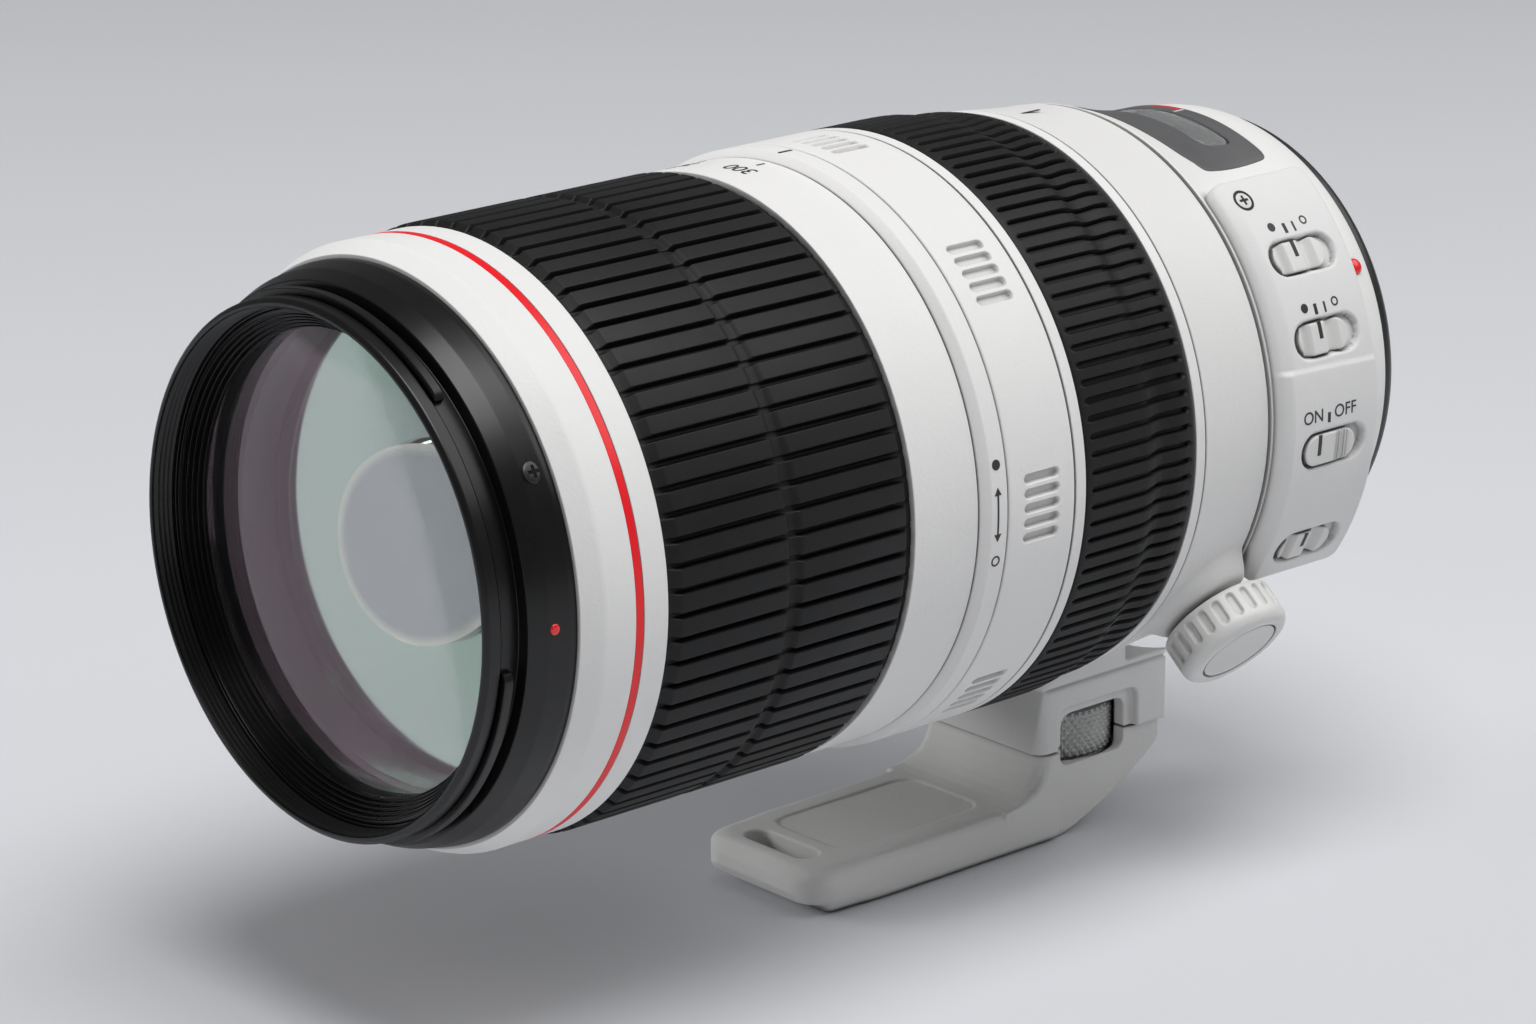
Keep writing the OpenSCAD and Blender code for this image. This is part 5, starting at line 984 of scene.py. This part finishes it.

# Hood ring: black anodised aluminium with a filter thread inside and three bayonet tabs outside.
# Three cross-head screws fix it to the barrel, and a red printed dot shows where the hood goes on.

# Painted shade darkens this finish in narrow gaps and at the foot of steps.
rim_black = surface("rim_black", (0.004, 0.004, 0.0042), (0.006, 0.006, 0.0062), 0.3, 2600, 4e-6, lines=5000,
                    painted_shade=0.7, Specular_IOR_Level=0.4)
outline = [(177, 40.6), (177, 42.2), (179.5, 42.2), (179.5, 43.4), (180.6, 43.4, 0.3), (184.0, 42.7, 0.25),
           (186.8, 41.5, 0.2), (186.85, 39.5, 0.15), (190.0, 39.4, 0.2), (190.35, 40.0, 0.2),
           (192.4, 40.0, 0.25), (192.95, 39.4, 0.25), (192.95, 38.8, 0.2)]
threads = []
for k in range(4):
    at = 192.5 - k * 0.82
    threads += [(at, 38.8, 0.05), (at - 0.41, 38.3, 0.05)]
outline += threads + [(189.2, 38.6), (189.2, 37.95), (184.2, 37.95), (184.2, 40.6)]
piece("hood_band", "front_barrel", "black_metal", rim_black, turned(outline, 0.15), "hood_ring")
tab_foot = 39.3
tabs = []
for k in range(3):
    a = np.linspace(0, 62, 60) + 50 + 120 * k
    ease = np.minimum(step(a, a[0], a[0] + 1.5), 1 - step(a, a[-1] - 1.5, a[-1]))
    shape = [(188.4, tab_foot), (188.4, 40.7), (188.55, 40.9), (189.85, 40.9), (190.0, 40.75),
             (190.0, tab_foot)]
    grid = [around(a, v, tab_foot + (r - tab_foot) * (0.55 + 0.45 * ease)) for v, r in shape]
    tabs.append(wrapped(list(np.stack(grid, 1)), closed=False))
piece("hood_tabs", "front_barrel", "black_metal", rim_black, joined(tabs), sharp=30)
for k, angle in enumerate((30, 150, 270)):
    cross_head(f"hood_screw_{k + 1}", "front_barrel", black_metal, angle, 182.1, 43.3, 1.65,
               ("hood_ring_screws",) if k == 0 else ())
    # Painted shade: a dark ring laid on the ring round each screw head.
    piece(f"hood_screw_gap_shade_{k + 1}", "front_barrel", "black_metal", shadow_gap,
          shade_ring(angle, 182.1, 43.1, 1.6, 1.95))
piece("hood_dot", "front_barrel", "red_plastic", red_bead, dome(0.3, 183.0, 42.8, 0.85, 0.32))

# Front retainer and glass: a black threaded ring with stepped light baffles over a coated front element.
# A second, smaller coated pair sits behind it in the front cell, with a thin coated disc at its middle; their
# colours are painted reflections.

baffle = [(0, 0), (0.3, 0.1), (0.3, 0.3), (0, 0.4), (0, 0.53)]
outline = [(184.2, 37.85), (189.1, 37.85)]
for k in range(5):
    at, r = 189.1 - 0.64 * k, 37.3 - 0.53 * k
    outline += [(at - behind, r - deep, 0.04) for behind, deep in baffle]
outline += [(185.9, 34.55), (185.9, 36.05), (184.2, 36.05)]
piece("retainer_steps", "front_barrel", "black_metal", rim_black, turned(outline, 0.08), "front_retainer")


def lens(front_s, thick, radius, front_bend, rear_bend):
    """A round element between two polished faces; a bend of 0 is flat, below 0 hollow."""
    def sag(bend, r):
        return 0.0 if bend == 0 else bend - np.sign(bend) * sqrt(bend * bend - r * r)
    steps = np.linspace(0.02, 1, 40)
    angles = np.arange(192) * 360 / 192
    rows = [around(angles, front_s - sag(front_bend, radius * t), radius * t) for t in steps]
    rows += [around(angles, front_s - thick + sag(rear_bend, radius * t), radius * t) for t in steps[::-1]]
    return wrapped(rows, closed=False)


front_glass = coated("front_glass", (1.0, 0.62, 0.80), 1.54)
# Painted reflection: the pair turns from dark mauve near a point above the axis, on the switch side, to pale
# green further out; the core disc is grey with a pale rim.
pair_glass = coated("pair_glass", (0.75, 1.0, 0.88), 1.7, 0.05, mirror=0.8,
                    clear=((0.26, 0.23, 0.27), (0.66, 0.75, 0.69)),
                    painted_reflection=((0.013, -0.172, 0.022), 0.005, 0.027))
core_glass = coated("core_glass", (0.95, 0.98, 1.0), 1.7, 0.04, mirror=0.75,
                    clear=((0.56, 0.57, 0.585), (0.9, 0.86, 0.78)),
                    painted_reflection=((0.0, -0.1726, 0.0), 0.0118, 0.0134))
piece("front_lens", "front_barrel", "coated_glass", front_glass, lens(189.2, 9.0, 35.95, 180, 1500),
      "front_element", even=False)
piece("front_pair", "front_barrel", "coated_glass", pair_glass, lens(172.5, 3.6, 33.9, -750, 0),
      "front_doublet", even=False)
piece("pair_core", "front_barrel", "coated_glass", core_glass, lens(173.2, 0.6, 13.5, 1500, 0), even=False)

# Studio: a plain pale table top, and the camera at the photograph's place.
# Three large soft lights stand above, behind and in front; the glass doesn't mirror the front one.

floor_mesh = bpy.data.meshes.new("table_top")
reach, floor_z = 4.0, -0.0730
corners = [(reach * x, reach * y, floor_z) for x, y in ((-1, -1), (1, -1), (1, 1), (-1, 1))]
floor_mesh.from_pydata(corners, [], [(0, 1, 2, 3)])
floor_mesh.materials.append(surface("table_grey", (0.68, 0.69, 0.72), (0.67, 0.68, 0.71), 0.7, 600, 4e-6,
                                    clouds=3))
table_top = linked("table_top", floor_mesh)

world = bpy.data.worlds.new("room")
bpy.context.scene.world = world
world.use_nodes = True
sky = world.node_tree.nodes["Background"].inputs
sky["Color"].default_value = (0.97, 0.985, 1.0, 1)
sky["Strength"].default_value = 0.15


def soft_light(name, place, aim, width, depth, power, mirrored=True):
    lamp = bpy.data.lights.new(name, "AREA")
    lamp.shape = "ELLIPSE"
    lamp.size, lamp.size_y, lamp.energy = width, depth, power
    made = linked(name, lamp)
    made.location = place
    made.rotation_euler = (Vector(aim) - Vector(place)).to_track_quat("-Z", "Y").to_euler()
    made.visible_glossy = mirrored


soft_light("overhead", (0.35, -0.25, 1.25), (0.0, -0.1, 0.0), 0.9, 0.9, 12.5)
soft_light("rear_fill", (0.5, 0.7, 1.0), (0.0, -0.1, 0.0), 1.2, 1.2, 7.0)
soft_light("front_fill", (-1.05, -1.05, 0.55), (0.0, -0.1, 0.0), 1.0, 0.6, 9.0, mirrored=False)

camera = bpy.data.cameras.new("camera")
camera.lens = 122.0
camera.sensor_width = 36.0
viewer = linked("camera", camera)
axes = [Vector(v).normalized() for v in ((0.668, 0.744, 0.0), (-0.2257, 0.2026, 0.9528),
                                         (0.709, -0.636, 0.3035))]
turned_to = Matrix(axes).transposed().to_4x4()
viewer.matrix_world = Matrix.Translation((0.5688, -0.6157, 0.2341)) @ turned_to
bpy.context.scene.camera = viewer
bpy.context.scene.view_settings.view_transform = "Standard"
